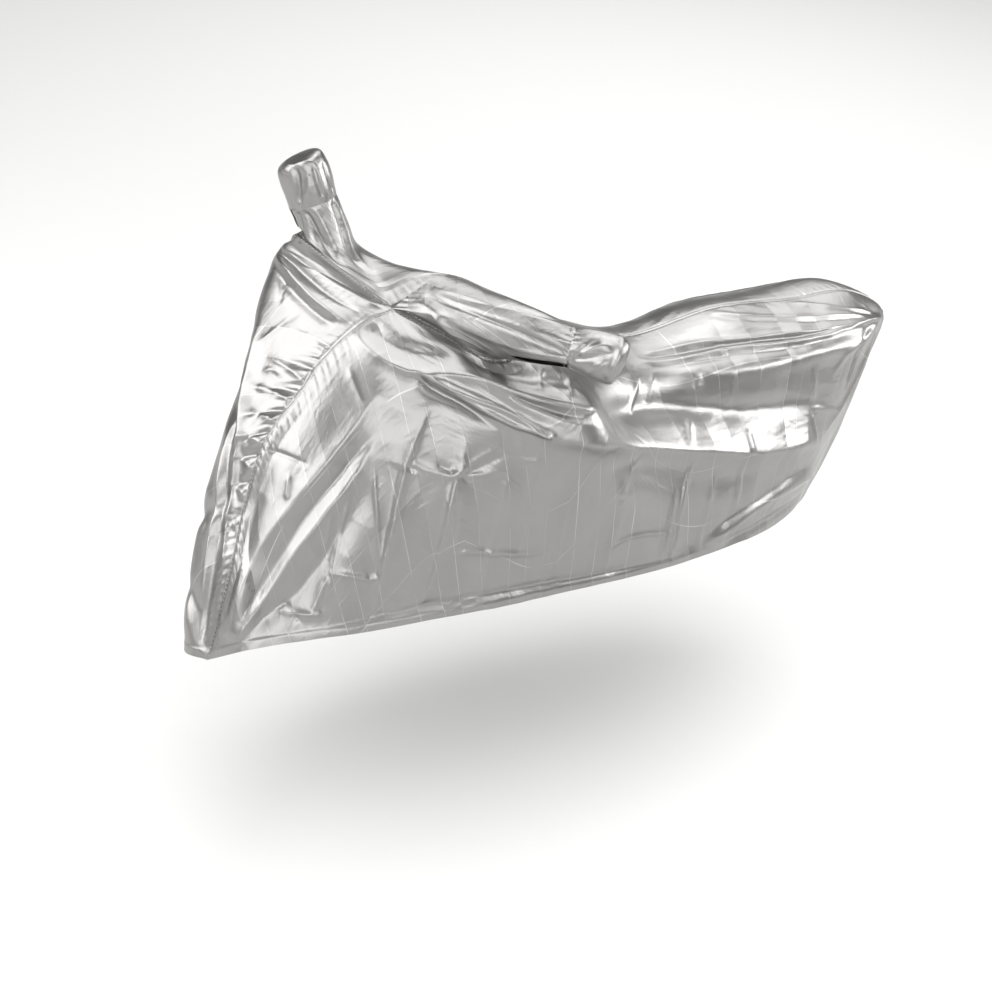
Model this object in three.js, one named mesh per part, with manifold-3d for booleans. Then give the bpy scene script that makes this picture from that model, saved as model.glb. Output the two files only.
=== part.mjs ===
// Motorcycle cover of silver coated taffeta, in the shape in which it hangs over a parked machine
// with its bars turned to the left: two side panels joined by one seam over the nose, seat and tail,
// and a sewn-in mirror pocket, a sleeve with an end cap, over each end of the bars.
// X points to the front of the machine, Y to the rider's left and Z up, in millimetres.
import * as THREE from 'three';
import { mergeVertices } from 'three/addons/utils/BufferGeometryUtils.js';
import Module from 'manifold-3d';

const wasm = await Module();
wasm.setup();

// Driving dimensions
const clothThickness = 2;
const seamGap = 0.6; // between two pieces sewn edge to edge
const pocketGap = 1.2; // at the foot of a pocket, where up to four pieces meet
const seatRest = { x: 37, z: 957 }; // under the seat top, above the ground: what holds the cover up
const stepsPerSection = 3; // columns of cloth between two sections of a panel
const panelRows = 17; // rows of cloth from a panel's top edge to its hem
const sleeveRows = 7;
const capRows = 6;
const seamRows = 3; // rows over which a fold dies out at a seam
const seamColumns = 2;
const slitDepth = 14; // half of what a slit takes out across the cloth
const slitSides = 16;
const cornerGap = 2; // at the two ends of the long seam, where the panels come to a point

// Sections of the left panel, from the nose hem round to the rear hem, as points of the section:
// its top edge at the seam, the brow where the cloth turns down, the side and the hem.
// Heights are above the ground.
const leftSections = {
  nose: { top: [1238, 200, 470], brow: [1238, 200, 470], side: [1238, 200, 470], hem: [1238, 200, 470] },
  fender: { top: [1174, 150, 651], brow: [1182, 195, 604], side: [1184, 226, 550], hem: [1180, 243, 506] },
  fork: { top: [1135, 110, 751], brow: [1142, 170, 680], side: [1136, 222, 590], hem: [1118, 256, 514] },
  forkTop: { top: [1091, 90, 861], brow: [1086, 158, 778], side: [1066, 222, 650], hem: [1041, 270, 519] },
  lamp: { top: [1028, 80, 938], brow: [1018, 158, 860], side: [994, 232, 690], hem: [960, 276, 516] },
  lampTop: { top: [976, 75, 1006], brow: [955, 155, 930], side: [915, 240, 720], hem: [880, 281, 516] },
  yoke: { top: [894, 80, 1077], brow: [882, 150, 1015], side: [843, 246, 760], hem: [795, 285, 517] },
  bars: { top: [845, 82, 1092], brow: [822, 160, 1030], side: [770, 256, 790], hem: [728, 285, 515] },
  pocketFront: { top: [765, 143, 1056], brow: [738, 215, 1000], side: [690, 270, 795], hem: [661, 285, 512] },
  pocketFoot: { top: [695, 190, 1020], brow: [655, 252, 968], side: [610, 282, 785], hem: [590, 283, 509] },
  grip: { top: [630, 172, 1010], brow: [575, 272, 945], side: [540, 285, 770], hem: [518, 280, 506] },
  pocketBack: { top: [610, 100, 1032], brow: [500, 272, 925], side: [460, 280, 755], hem: [440, 276, 503] },
  tank: { top: [630, 35, 1078], brow: [440, 205, 905], side: [375, 262, 738], hem: [365, 270, 499] },
  seatFront: { top: [400, 5, 965], brow: [345, 140, 895], side: [285, 240, 720], hem: [256, 260, 492] },
  seatDip: { top: [255, 0, 921], brow: [232, 122, 880], side: [190, 225, 708], hem: [160, 248, 490] },
  seat: { top: [37, 0, 959], brow: [35, 122, 898], side: [25, 208, 700], hem: [20, 225, 484] },
  pillion: { top: [-177, 0, 955], brow: [-168, 106, 908], side: [-130, 176, 698], hem: [-99, 185, 473] },
  tailTop: { top: [-351, 0, 954], brow: [-322, 86, 900], side: [-245, 142, 690], hem: [-192, 140, 470] },
  tailTip: { top: [-467, 0, 884], brow: [-406, 58, 825], side: [-310, 104, 655], hem: [-250, 100, 460] },
  tailUnder: { top: [-425, 0, 812], brow: [-385, 52, 742], side: [-328, 86, 600], hem: [-280, 80, 455] },
  tailBack: { top: [-398, 0, 670], brow: [-374, 40, 632], side: [-336, 62, 545], hem: [-304, 56, 450] },
  rear: { top: [-344, 0, 438], brow: [-344, 0, 438], side: [-344, 0, 438], hem: [-344, 0, 438] },
};
// The right panel has the same sections, and its top edge is the left one's outside the bars.
const rightSections = {
  nose: { brow: [1238, 200, 470], side: [1238, 200, 470], hem: [1238, 200, 470] },
  fender: { brow: [1228, 108, 590], side: [1256, 124, 518], hem: [1262, 140, 456] },
  fork: { brow: [1189, 52, 724], side: [1205, 42, 600], hem: [1196, 55, 464] },
  forkTop: { brow: [1157, 20, 795], side: [1145, -22, 640], hem: [1120, -20, 460] },
  lamp: { brow: [1104, -26, 900], side: [1075, -85, 690], hem: [1045, -95, 457] },
  lampTop: { brow: [1062, -67, 988], side: [1010, -140, 740], hem: [965, -152, 456] },
  yoke: { brow: [1027, -103, 1066], side: [960, -178, 775], hem: [890, -186, 455] },
  bars: { brow: [997, -124, 1112], side: [930, -195, 800], hem: [820, -206, 455] },
  pocketFront: { top: [905, 15, 1132], brow: [988, -142, 1122], side: [890, -206, 815], hem: [745, -220, 455] },
  pocketFoot: { top: [962, -78, 1174], brow: [972, -158, 1124], side: [835, -216, 815], hem: [670, -230, 455] },
  grip: { top: [955, -138, 1158], brow: [930, -186, 1086], side: [770, -226, 805], hem: [590, -236, 455] },
  pocketBack: { top: [850, -130, 1092], brow: [810, -192, 1030], side: [660, -232, 780], hem: [500, -240, 455] },
  tank: { brow: [520, -150, 945], side: [450, -232, 745], hem: [380, -240, 455] },
  seatFront: { brow: [350, -130, 895], side: [300, -222, 722], hem: [262, -234, 455] },
  seatDip: { brow: [235, -120, 880], side: [195, -212, 708], hem: [165, -226, 455] },
  seat: { brow: [35, -122, 912], side: [25, -196, 700], hem: [20, -208, 455] },
  pillion: { brow: [-168, -112, 930], side: [-130, -168, 698], hem: [-99, -174, 452] },
  tailTop: { brow: [-322, -98, 935], side: [-245, -134, 690], hem: [-192, -132, 450] },
  tailTip: { brow: [-418, -62, 850], side: [-312, -100, 655], hem: [-250, -95, 446] },
  tailUnder: { brow: [-388, -54, 745], side: [-330, -82, 602], hem: [-280, -76, 444] },
  tailBack: { brow: [-374, -40, 632], side: [-336, -58, 545], hem: [-304, -52, 442] },
  rear: { brow: [-344, 0, 438], side: [-344, 0, 438], hem: [-344, 0, 438] },
};
const sectionNames = Object.keys(leftSections);
const barRow = sectionNames.indexOf('bars');
const tankRow = sectionNames.indexOf('tank');

// The seam between the two pockets, from behind the bars over their ridge to the front.
const pocketSeam = [[630, 35, 1078], [684, 54, 1122], [745, 66, 1138], [800, 74, 1118], [845, 82, 1092]];
const pocketSeamSteps = 9;

// Rings of a pocket's sleeve and cap, outwards: middle, direction of the axis, half height, half depth.
// turn is the angle, in degrees, at which a ring meets the front end of the pocket seam,
// seamTurn the one at its back end. slit is the opening in the sleeve, by its half length and half width.
const leftPocket = {
  turn: 35, seamTurn: -225, across: [0.67, 0.74, 0], up: [0, 0, 1], tip: [500, 352, 1056],
  sleeve: [
    { middle: [628, 232, 1077], axis: [-0.74, 0.67, -0.03], high: 50, deep: 50 },
    { middle: [572, 284, 1070], axis: [-0.72, 0.69, -0.03], high: 37, deep: 38 },
  ],
  cap: [
    { middle: [556, 300, 1070], axis: [-0.72, 0.69, -0.1], high: 43, deep: 41 },
    { middle: [520, 334, 1063], axis: [-0.7, 0.67, -0.25], high: 48, deep: 40 },
    { middle: [506, 347, 1058], axis: [-0.7, 0.67, -0.25], high: 42, deep: 34 },
  ],
  slit: { middle: [622, 282, 1044], along: [-0.8, 0.59, 0.02], out: [0.5, 0.55, -0.67], long: 42, wide: 7 },
};
const rightPocket = {
  turn: 148, seamTurn: -162, across: [0.88, -0.47, 0], up: [0.47, 0.88, 0], tip: [960, -122, 1323],
  sleeve: [
    { middle: [902, -79, 1168], axis: [-0.25, 0.13, 0.96], high: 56, deep: 60 },
    { middle: [918, -95, 1200], axis: [0.1, -0.08, 0.98], high: 46, deep: 49 },
    { middle: [932, -107, 1238], axis: [0.3, -0.18, 0.94], high: 36, deep: 39 },
  ],
  cap: [
    { middle: [940, -111, 1268], axis: [0.44, -0.23, 0.87], high: 42, deep: 52 },
    { middle: [949, -116, 1293], axis: [0.44, -0.23, 0.87], high: 41, deep: 51 },
    { middle: [957, -120, 1315], axis: [0.44, -0.23, 0.87], high: 34, deep: 42 },
  ],
  slit: { middle: [966, -104, 1212], along: [0.31, -0.3, 0.9], out: [0.98, -0.14, 0], long: 34, wide: 6 },
};

// Long folds of each panel, as seen from its side: the route as [x, z], how wide and how high the fold
// stands, a trough below nought, and how much of its height it keeps at the start and end of the route.
const leftFolds = [
  { name: 'lower swag', wide: 36, high: 22, start: 0.2, end: 0.3,
    route: [[740, 980], [655, 945], [575, 890], [430, 830], [195, 747], [40, 715], [-185, 677]] },
  { name: 'under the lower swag', wide: 44, high: -18, start: 0, end: 0.2,
    route: [[650, 885], [475, 815], [200, 705], [-160, 620]] },
  { name: 'upper swag', wide: 28, high: 13, start: 0, end: 0.4,
    route: [[290, 887], [165, 875], [5, 867], [-155, 871], [-335, 893]] },
  { name: 'under the upper swag', wide: 34, high: -15, start: 0.2, end: 0,
    route: [[285, 846], [55, 797], [-190, 767]] },
  { name: 'rear corner', wide: 26, high: 18, start: 0.5, end: 0.2,
    route: [[-260, 565], [-155, 580], [50, 547], [110, 510]] },
  { name: 'under the rear corner', wide: 22, high: -12, start: 0.3, end: 0,
    route: [[-255, 520], [-45, 517], [85, 498]] },
  { name: 'beside the tail edge', wide: 24, high: -12, start: 0.2, end: 0,
    route: [[-335, 861], [-265, 752], [-220, 690]] },
  { name: 'grip pleat', wide: 20, high: 18, start: 0, end: 0.6,
    route: [[815, 1000], [690, 975], [575, 946], [450, 895]] },
  { name: 'under the grip pleat', wide: 22, high: -14, start: 0, end: 0.3,
    route: [[795, 970], [655, 926], [485, 892]] },
  { name: 'first nose fold', wide: 22, high: 14, start: 0.2, end: 0.2,
    route: [[1215, 515], [1130, 665], [1015, 813], [865, 957]] },
  { name: 'between the nose folds', wide: 20, high: -13, start: 0.2, end: 0,
    route: [[1210, 515], [1100, 668], [975, 814], [840, 965]] },
  { name: 'second nose fold', wide: 24, high: 15, start: 0.2, end: 0.2,
    route: [[1210, 511], [1065, 668], [930, 813], [810, 965]] },
  { name: 'below the nose folds', wide: 32, high: -12, start: 0.2, end: 0,
    route: [[1203, 507], [1015, 649], [880, 754]] },
  { name: 'beside the nose seam', wide: 20, high: -9, start: 0.2, end: 0,
    route: [[1025, 927], [1107, 796], [1165, 659], [1210, 534]] },
  { name: 'hem', wide: 20, high: 7, start: 0.3, end: 0.3,
    route: [[1080, 526], [796, 530], [520, 522], [260, 508], [85, 506]] },
];
const rightFolds = [
  { name: 'front edge', wide: 20, high: 9, start: 0.2, end: 0.2,
    route: [[1045, 1032], [1099, 904], [1154, 774], [1204, 634], [1244, 526]] },
  { name: 'beside the front edge', wide: 18, high: -9, start: 0, end: 0.2,
    route: [[1033, 1026], [1087, 911], [1142, 779], [1200, 622], [1235, 523]] },
  { name: 'lower swag', wide: 38, high: 20, start: 0.2, end: 0.2,
    route: [[880, 950], [700, 868], [440, 800], [190, 742], [30, 722], [-190, 690]] },
  { name: 'under the lower swag', wide: 44, high: -17, start: 0, end: 0,
    route: [[800, 850], [520, 752], [200, 690], [-130, 640]] },
  { name: 'under the upper swag', wide: 34, high: -13, start: 0, end: 0,
    route: [[420, 850], [150, 802], [-190, 780]] },
  { name: 'first nose fold', wide: 26, high: 15, start: 0, end: 0.2,
    route: [[1170, 500], [1050, 690], [960, 850], [930, 1000]] },
  { name: 'below the nose fold', wide: 32, high: -13, start: 0, end: 0,
    route: [[1120, 500], [960, 640], [830, 780]] },
  { name: 'rear corner', wide: 28, high: 15, start: 0.4, end: 0.2,
    route: [[-265, 570], [-140, 590], [60, 552], [150, 510]] },
  { name: 'beside the tail edge', wide: 24, high: -10, start: 0.2, end: 0,
    route: [[-330, 850], [-270, 740], [-215, 660]] },
  { name: 'hem', wide: 20, high: 7, start: 0.3, end: 0.3,
    route: [[1000, 485], [700, 480], [300, 478], [0, 476]] },
];

const silverTaffeta = { color: 0xb9b9b7, roughness: 0.38, metalness: 0.75, side: THREE.DoubleSide };

const vector = ([x, y, z]) => new THREE.Vector3(x, y, z);
const smoothCurve = (points) => new THREE.CatmullRomCurve3(points, false, 'centripetal');

// Points along a smooth curve through the sections' points, with the same steps between any two.
function rail(points) {
  const curve = smoothCurve(points);
  const count = (points.length - 1) * stepsPerSection;
  return Array.from({ length: count + 1 }, (_, i) => curve.getPoint(i / count));
}

// A panel's top edge is three curves that meet at the two ends of the pocket: the seam up the nose,
// the pocket's foot, and the seam over the seat and tail.
function topRail(points) {
  const front = rail(points.slice(0, barRow + 1));
  const foot = rail(points.slice(barRow, tankRow + 1));
  const back = rail(points.slice(tankRow));
  return [...front, ...foot.slice(1), ...back.slice(1)];
}

// A panel's columns of points, each from its top edge to its hem.
// lead is the cloth over the seam, which gives the section its slope there.
function panelColumns(sections, leads) {
  const line = (part) => sections.map((row) => vector(row[part]));
  const rails = [topRail(line('top')), rail(line('brow')), rail(line('side')), rail(line('hem'))];
  const leadRail = rail(leads);
  return leadRail.map((lead, i) => {
    const section = smoothCurve([lead, ...rails.map((points) => points[i])]);
    return Array.from({ length: panelRows }, (_, j) => {
      const share = j / (panelRows - 1);
      return section.getPoint((1 + 3 * share) / 4);
    });
  });
}

// Rings of a pocket, row by row: the base ring where it is sewn in, then its sleeve or its cap.
function ringPoints(ring, pocket, count, seamCount) {
  const axis = vector(ring.axis).normalize();
  const [across, up] = [pocket.across, pocket.up].map((direction) =>
    vector(direction).addScaledVector(axis, -axis.dot(vector(direction))).normalize());
  return Array.from({ length: count }, (_, k) => {
    const sewn = count - seamCount;
    const degrees = k <= sewn
      ? THREE.MathUtils.lerp(pocket.turn, pocket.seamTurn, k / sewn)
      : THREE.MathUtils.lerp(pocket.seamTurn, pocket.turn - 360, (k - sewn) / seamCount);
    const angle = THREE.MathUtils.degToRad(degrees);
    return vector(ring.middle)
      .addScaledVector(across, ring.deep * Math.cos(angle))
      .addScaledVector(up, ring.high * Math.sin(angle));
  });
}

// Columns of points along a sleeve or a cap, one for each point round its rings.
function loftColumns(rings, rows) {
  return rings[0].map((_, k) => {
    const line = smoothCurve(rings.map((ring) => ring[k]));
    return Array.from({ length: rows }, (_, j) => line.getPoint(j / (rows - 1)));
  });
}

// Normals of a grid of columns. round says that the last column meets the first, flip turns them over.
function gridNormals(columns, round, flip) {
  const last = columns.length - 1;
  const rows = columns[0].length;
  const at = (i) => columns[round ? (i + last + 1) % (last + 1) : Math.min(Math.max(i, 0), last)];
  return columns.map((_, i) => Array.from({ length: rows }, (_, j) => {
    const inner = round ? i : Math.min(Math.max(i, 1), last - 1);
    const along = at(inner + 1)[j].clone().sub(at(inner - 1)[j]);
    const down = at(inner)[Math.min(j + 1, rows - 1)].clone().sub(at(inner)[Math.max(j - 1, 0)]);
    return along.cross(down).normalize().multiplyScalar(flip ? -1 : 1);
  }));
}

// How far a panel's folds raise or sink a point of it.
function foldHeight(point, folds) {
  let height = 0;
  for (const fold of folds) {
    let nearest = Infinity;
    let share = 0;
    const spans = fold.route.length - 1;
    for (let k = 0; k < spans; k += 1) {
      const [ax, az] = fold.route[k];
      const [bx, bz] = fold.route[k + 1];
      const [dx, dz] = [bx - ax, bz - az];
      const along = ((point.x - ax) * dx + (point.z - az) * dz) / (dx * dx + dz * dz);
      const held = Math.min(Math.max(along, 0), 1);
      const distance = Math.hypot(point.x - ax - held * dx, point.z - az - held * dz);
      if (distance < nearest) {
        nearest = distance;
        share = (k + held) / spans;
      }
    }
    const ends = Math.min(1, 4 * share + fold.start, 4 * (1 - share) + fold.end);
    height += fold.high * ends * Math.exp(-((nearest / fold.wide) ** 2));
  }
  return height;
}

// The folds raise or sink the cloth along its normal, and die out at the seams.
function foldPanel(columns, normals, folds) {
  const last = columns.length - 1;
  columns.forEach((column, i) => column.forEach((point, j) => {
    const fromSeam = Math.min(1, j / seamRows, i / seamColumns, (last - i) / seamColumns);
    point.addScaledVector(normals[i][j], fromSeam * foldHeight(point, folds));
  }));
}

// Gives the points of a seam one shared normal, so that the cut edges of its pieces stand side by side.
function shareNormals(...normals) {
  const mean = normals.reduce((sum, normal) => sum.add(normal), new THREE.Vector3()).normalize();
  normals.forEach((normal) => normal.copy(mean));
}

// Draws a seam's edge back into its own piece by half the gap.
function drawBack(edge, inner, distance) {
  edge.forEach((point, i) => {
    const along = edge[Math.min(i + 1, edge.length - 1)].clone().sub(edge[Math.max(i - 1, 0)]).normalize();
    const inwards = inner[i].clone().sub(point);
    inwards.addScaledVector(along, -inwards.dot(along)).normalize();
    point.addScaledVector(inwards, distance);
  });
}

// A closed sheet from a grid of columns: its outside, its inside one thickness below, and its cut edges.
function sheet(columns, normals, round, flip) {
  const positions = [];
  const keys = new Map();
  const vertex = (point) => {
    const key = point.toArray().map((value) => value.toFixed(4)).join();
    if (!keys.has(key)) {
      keys.set(key, keys.size);
      positions.push(...point.toArray());
    }
    return keys.get(key);
  };
  const outside = columns.map((column) => column.map(vertex));
  const inside = columns.map((column, i) => column.map((point, j) =>
    vertex(point.clone().addScaledVector(normals[i][j], -clothThickness))));
  const triangles = [];
  const quad = (a, b, c, d) => {
    for (const [p, q, r] of [[a, b, c], [a, c, d]]) {
      if (p !== q && q !== r && r !== p) triangles.push(...(flip ? [p, q, r] : [p, r, q]));
    }
  };
  const spans = round ? columns.length : columns.length - 1;
  const lastRow = columns[0].length - 1;
  for (let i = 0; i < spans; i += 1) {
    const next = (i + 1) % columns.length;
    for (let j = 0; j < lastRow; j += 1) {
      quad(outside[i][j], outside[i][j + 1], outside[next][j + 1], outside[next][j]);
      quad(inside[i][j], inside[next][j], inside[next][j + 1], inside[i][j + 1]);
    }
    quad(outside[i][0], outside[next][0], inside[next][0], inside[i][0]);
    quad(outside[i][lastRow], inside[i][lastRow], inside[next][lastRow], outside[next][lastRow]);
  }
  if (!round) {
    for (let j = 0; j < lastRow; j += 1) {
      quad(outside[0][j], inside[0][j], inside[0][j + 1], outside[0][j + 1]);
      quad(outside[spans][j], outside[spans][j + 1], inside[spans][j + 1], inside[spans][j]);
    }
  }
  const geometry = new THREE.BufferGeometry();
  geometry.setAttribute('position', new THREE.Float32BufferAttribute(positions, 3));
  geometry.setIndex(triangles);
  return geometry;
}

// A geometry as a solid that can be cut, and a cut solid as a geometry again.
function solidOf(geometry) {
  const merged = mergeVertices(geometry.deleteAttribute('normal').deleteAttribute('uv'));
  const vertProperties = new Float32Array(merged.attributes.position.array);
  const triVerts = new Uint32Array(merged.index.array);
  return new wasm.Manifold(new wasm.Mesh({ numProp: 3, vertProperties, triVerts }));
}
function geometryOf(solid) {
  const { vertProperties, triVerts } = solid.getMesh();
  const geometry = new THREE.BufferGeometry();
  geometry.setAttribute('position', new THREE.BufferAttribute(vertProperties, 3));
  geometry.setIndex(new THREE.BufferAttribute(triVerts, 1));
  return geometry;
}

// The lens-shaped body that a sleeve's slit takes out of the cloth.
function slitBody({ middle, along, out, long, wide }) {
  const length = vector(along).normalize();
  const outwards = vector(out).addScaledVector(length, -length.dot(vector(out))).normalize();
  const across = outwards.clone().cross(length);
  const lens = new THREE.SphereGeometry(1, slitSides, slitSides / 2);
  lens.scale(long, wide, slitDepth);
  lens.applyMatrix4(new THREE.Matrix4().makeBasis(length, across, outwards).setPosition(...middle));
  return lens;
}

const firstBar = barRow * stepsPerSection;
const lastBar = tankRow * stepsPerSection;
const sewnSteps = lastBar - firstBar;

// Both panels with their top edges, and over each seam the other panel's cloth
const leftRows = Object.values(leftSections);
const rightRows = sectionNames.map((name) => ({ top: leftSections[name].top, ...rightSections[name] }));
function leadsOver(sections, others) {
  return sections.map((row, i) => (i < barRow || i > tankRow
    ? vector(others[i].brow)
    : vector(row.top).multiplyScalar(2).sub(vector(row.brow))));
}
const left = panelColumns(leftRows, leadsOver(leftRows, rightRows));
const right = panelColumns(rightRows, leadsOver(rightRows, leftRows));
foldPanel(left, gridNormals(left, false, true), leftFolds);
foldPanel(right, gridNormals(right, false, false), rightFolds);

// Pockets, sewn to their panel and to each other
const seamCurve = smoothCurve(pocketSeam.map(vector));
const middleSeam = Array.from({ length: pocketSeamSteps - 1 }, (_, i) =>
  seamCurve.getPoint((i + 1) / pocketSeamSteps));
function pocketPieces(panel, pocket) {
  const sewn = panel.slice(firstBar, lastBar + 1).map((column) => column[0].clone());
  const base = [...sewn, ...middleSeam.map((point) => point.clone())];
  const rings = (rows) => rows.map((ring) => ringPoints(ring, pocket, base.length, pocketSeamSteps));
  const sleeve = loftColumns([base, ...rings(pocket.sleeve)], sleeveRows);
  const neck = sleeve.map((column) => column[sleeveRows - 1].clone());
  const tip = vector(pocket.tip);
  const cap = loftColumns([neck, ...rings(pocket.cap), neck.map(() => tip)], capRows);
  return { sleeve, cap };
}
const leftPieces = pocketPieces(left, leftPocket);
const rightPieces = pocketPieces(right, rightPocket);

const cloths = {
  side_left: { columns: left, round: false, flip: true },
  side_right: { columns: right, round: false, flip: false },
  pocket_left_sleeve: { columns: leftPieces.sleeve, round: true, flip: false, slit: leftPocket.slit },
  pocket_right_sleeve: { columns: rightPieces.sleeve, round: true, flip: true, slit: rightPocket.slit },
  pocket_left_cap: { columns: leftPieces.cap, round: true, flip: false },
  pocket_right_cap: { columns: rightPieces.cap, round: true, flip: true },
};
for (const cloth of Object.values(cloths)) {
  cloth.normals = gridNormals(cloth.columns, cloth.round, cloth.flip);
}

// One normal for the cloth on both sides of each seam
const normalsOf = (name) => cloths[name].normals;
left.forEach((_, i) => {
  const leftEdge = normalsOf('side_left')[i][0];
  const rightEdge = normalsOf('side_right')[i][0];
  if (i < firstBar || i > lastBar) {
    shareNormals(leftEdge, rightEdge);
  } else if (i > firstBar && i < lastBar) {
    shareNormals(leftEdge, normalsOf('pocket_left_sleeve')[i - firstBar][0]);
    shareNormals(rightEdge, normalsOf('pocket_right_sleeve')[i - firstBar][0]);
  } else {
    const sleeves = ['pocket_left_sleeve', 'pocket_right_sleeve'];
    shareNormals(leftEdge, rightEdge, ...sleeves.map((name) => normalsOf(name)[i - firstBar][0]));
  }
});
middleSeam.forEach((_, k) => {
  const column = sewnSteps + 1 + k;
  shareNormals(normalsOf('pocket_left_sleeve')[column][0], normalsOf('pocket_right_sleeve')[column][0]);
});
for (const side of ['left', 'right']) {
  const cap = normalsOf(`pocket_${side}_cap`);
  normalsOf(`pocket_${side}_sleeve`).forEach((column, k) => shareNormals(column[sleeveRows - 1], cap[k][0]));
  shareNormals(...cap.map((column) => column[capRows - 1]));
}
for (const name of ['side_left', 'side_right']) {
  for (const corner of [normalsOf(name)[0], normalsOf(name)[left.length - 1]]) {
    corner.forEach((normal) => normal.copy(corner[0]));
  }
}

// The gap of every seam, half of it on each piece
const row = (columns, j) => columns.map((column) => column[j]);
for (const [name, { columns, round }] of Object.entries(cloths)) {
  const last = columns[0].length - 1;
  const isCap = name.endsWith('_cap');
  if (!round) {
    const end = columns.length - 1;
    for (const [corner, next] of [[0, 2], [end, end - 2]]) {
      const inwards = columns[next][Math.round(last / 2)].clone().sub(columns[corner][0]).normalize();
      columns[corner].forEach((point) => point.addScaledVector(inwards, cornerGap));
    }
    drawBack(row(columns.slice(1, end), 0), row(columns.slice(1, end), 1), seamGap / 2);
  } else {
    drawBack(row(columns, 0), row(columns, 1), (isCap ? seamGap : pocketGap) / 2);
    if (!isCap) drawBack(row(columns, last), row(columns, last - 1), seamGap / 2);
  }
}

const group = new THREE.Group();
for (const [name, { columns, normals, round, flip, slit }] of Object.entries(cloths)) {
  const whole = sheet(columns, normals, round, flip);
  const geometry = slit ? geometryOf(solidOf(whole).subtract(solidOf(slitBody(slit)))) : whole;
  const mesh = new THREE.Mesh(geometry, new THREE.MeshStandardMaterial(silverTaffeta));
  mesh.name = name;
  mesh.position.set(-seatRest.x, 0, -seatRest.z);
  group.add(mesh);
}

export default group;
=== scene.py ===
import bpy
import numpy as np
from mathutils import Matrix, Vector


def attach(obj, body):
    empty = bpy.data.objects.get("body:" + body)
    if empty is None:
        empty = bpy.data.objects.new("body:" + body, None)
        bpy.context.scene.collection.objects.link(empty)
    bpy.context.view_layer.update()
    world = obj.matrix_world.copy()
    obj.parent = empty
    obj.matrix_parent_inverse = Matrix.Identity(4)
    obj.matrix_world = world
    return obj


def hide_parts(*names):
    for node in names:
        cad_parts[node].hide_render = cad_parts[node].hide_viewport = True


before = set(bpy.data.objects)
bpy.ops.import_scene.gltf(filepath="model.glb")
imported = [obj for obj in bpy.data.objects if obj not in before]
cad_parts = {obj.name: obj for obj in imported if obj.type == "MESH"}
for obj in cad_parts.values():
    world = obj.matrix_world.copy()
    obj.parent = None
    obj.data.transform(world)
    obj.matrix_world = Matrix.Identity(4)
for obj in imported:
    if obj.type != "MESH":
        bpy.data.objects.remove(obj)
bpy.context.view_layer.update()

# A fitted cover of silver-coated taffeta, draped and empty.
# The tables are in millimetres above the ground. The row frame is in metres from the seat rest.
seatRest = np.array([37.0, 0.0, 957.0])
print("frame loaded")


def metres(points):
    return (np.asarray(points, float) - seatRest) / 1000


# Sections of the left panel, from the nose to the rear point of the hem: top edge, brow, side and hem.
leftSections = {
    "nose": [(1238, 200, 470)] * 4,
    "fender": [(1174, 150, 651), (1182, 195, 604), (1184, 226, 550), (1180, 243, 506)],
    "fork": [(1135, 110, 751), (1142, 170, 680), (1136, 222, 590), (1118, 256, 514)],
    "forkTop": [(1091, 90, 861), (1086, 158, 778), (1066, 222, 650), (1041, 270, 519)],
    "lamp": [(1028, 80, 938), (1018, 158, 860), (994, 232, 690), (960, 276, 516)],
    "lampTop": [(976, 75, 1006), (955, 155, 930), (915, 240, 720), (880, 281, 516)],
    "yoke": [(894, 80, 1077), (882, 150, 1015), (843, 246, 760), (795, 285, 517)],
    "bars": [(845, 82, 1092), (822, 160, 1030), (770, 256, 790), (728, 285, 515)],
    "pocketFront": [(765, 143, 1056), (738, 215, 1000), (690, 270, 795), (661, 285, 512)],
    "pocketFoot": [(695, 190, 1020), (655, 252, 968), (610, 282, 785), (590, 283, 509)],
    "grip": [(630, 172, 1010), (575, 272, 945), (540, 285, 770), (518, 280, 506)],
    "pocketBack": [(610, 100, 1032), (500, 272, 925), (460, 280, 755), (440, 276, 503)],
    "tank": [(630, 35, 1078), (440, 205, 905), (375, 262, 738), (365, 270, 499)],
    "seatFront": [(400, 5, 965), (345, 140, 895), (285, 240, 720), (256, 260, 492)],
    "seatDip": [(255, 0, 921), (232, 122, 880), (190, 225, 708), (160, 248, 490)],
    "seat": [(37, 0, 959), (35, 122, 898), (25, 208, 700), (20, 225, 484)],
    "pillion": [(-177, 0, 955), (-168, 106, 908), (-130, 176, 698), (-99, 185, 473)],
    "tailTop": [(-351, 0, 954), (-322, 86, 900), (-245, 142, 690), (-192, 140, 470)],
    "tailTip": [(-467, 0, 884), (-406, 58, 825), (-310, 104, 655), (-250, 100, 460)],
    "tailUnder": [(-425, 0, 812), (-385, 52, 742), (-328, 86, 600), (-280, 80, 455)],
    "tailBack": [(-398, 0, 670), (-374, 40, 632), (-336, 62, 545), (-304, 56, 450)],
    "rear": [(-344, 0, 438)] * 4,
}
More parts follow.
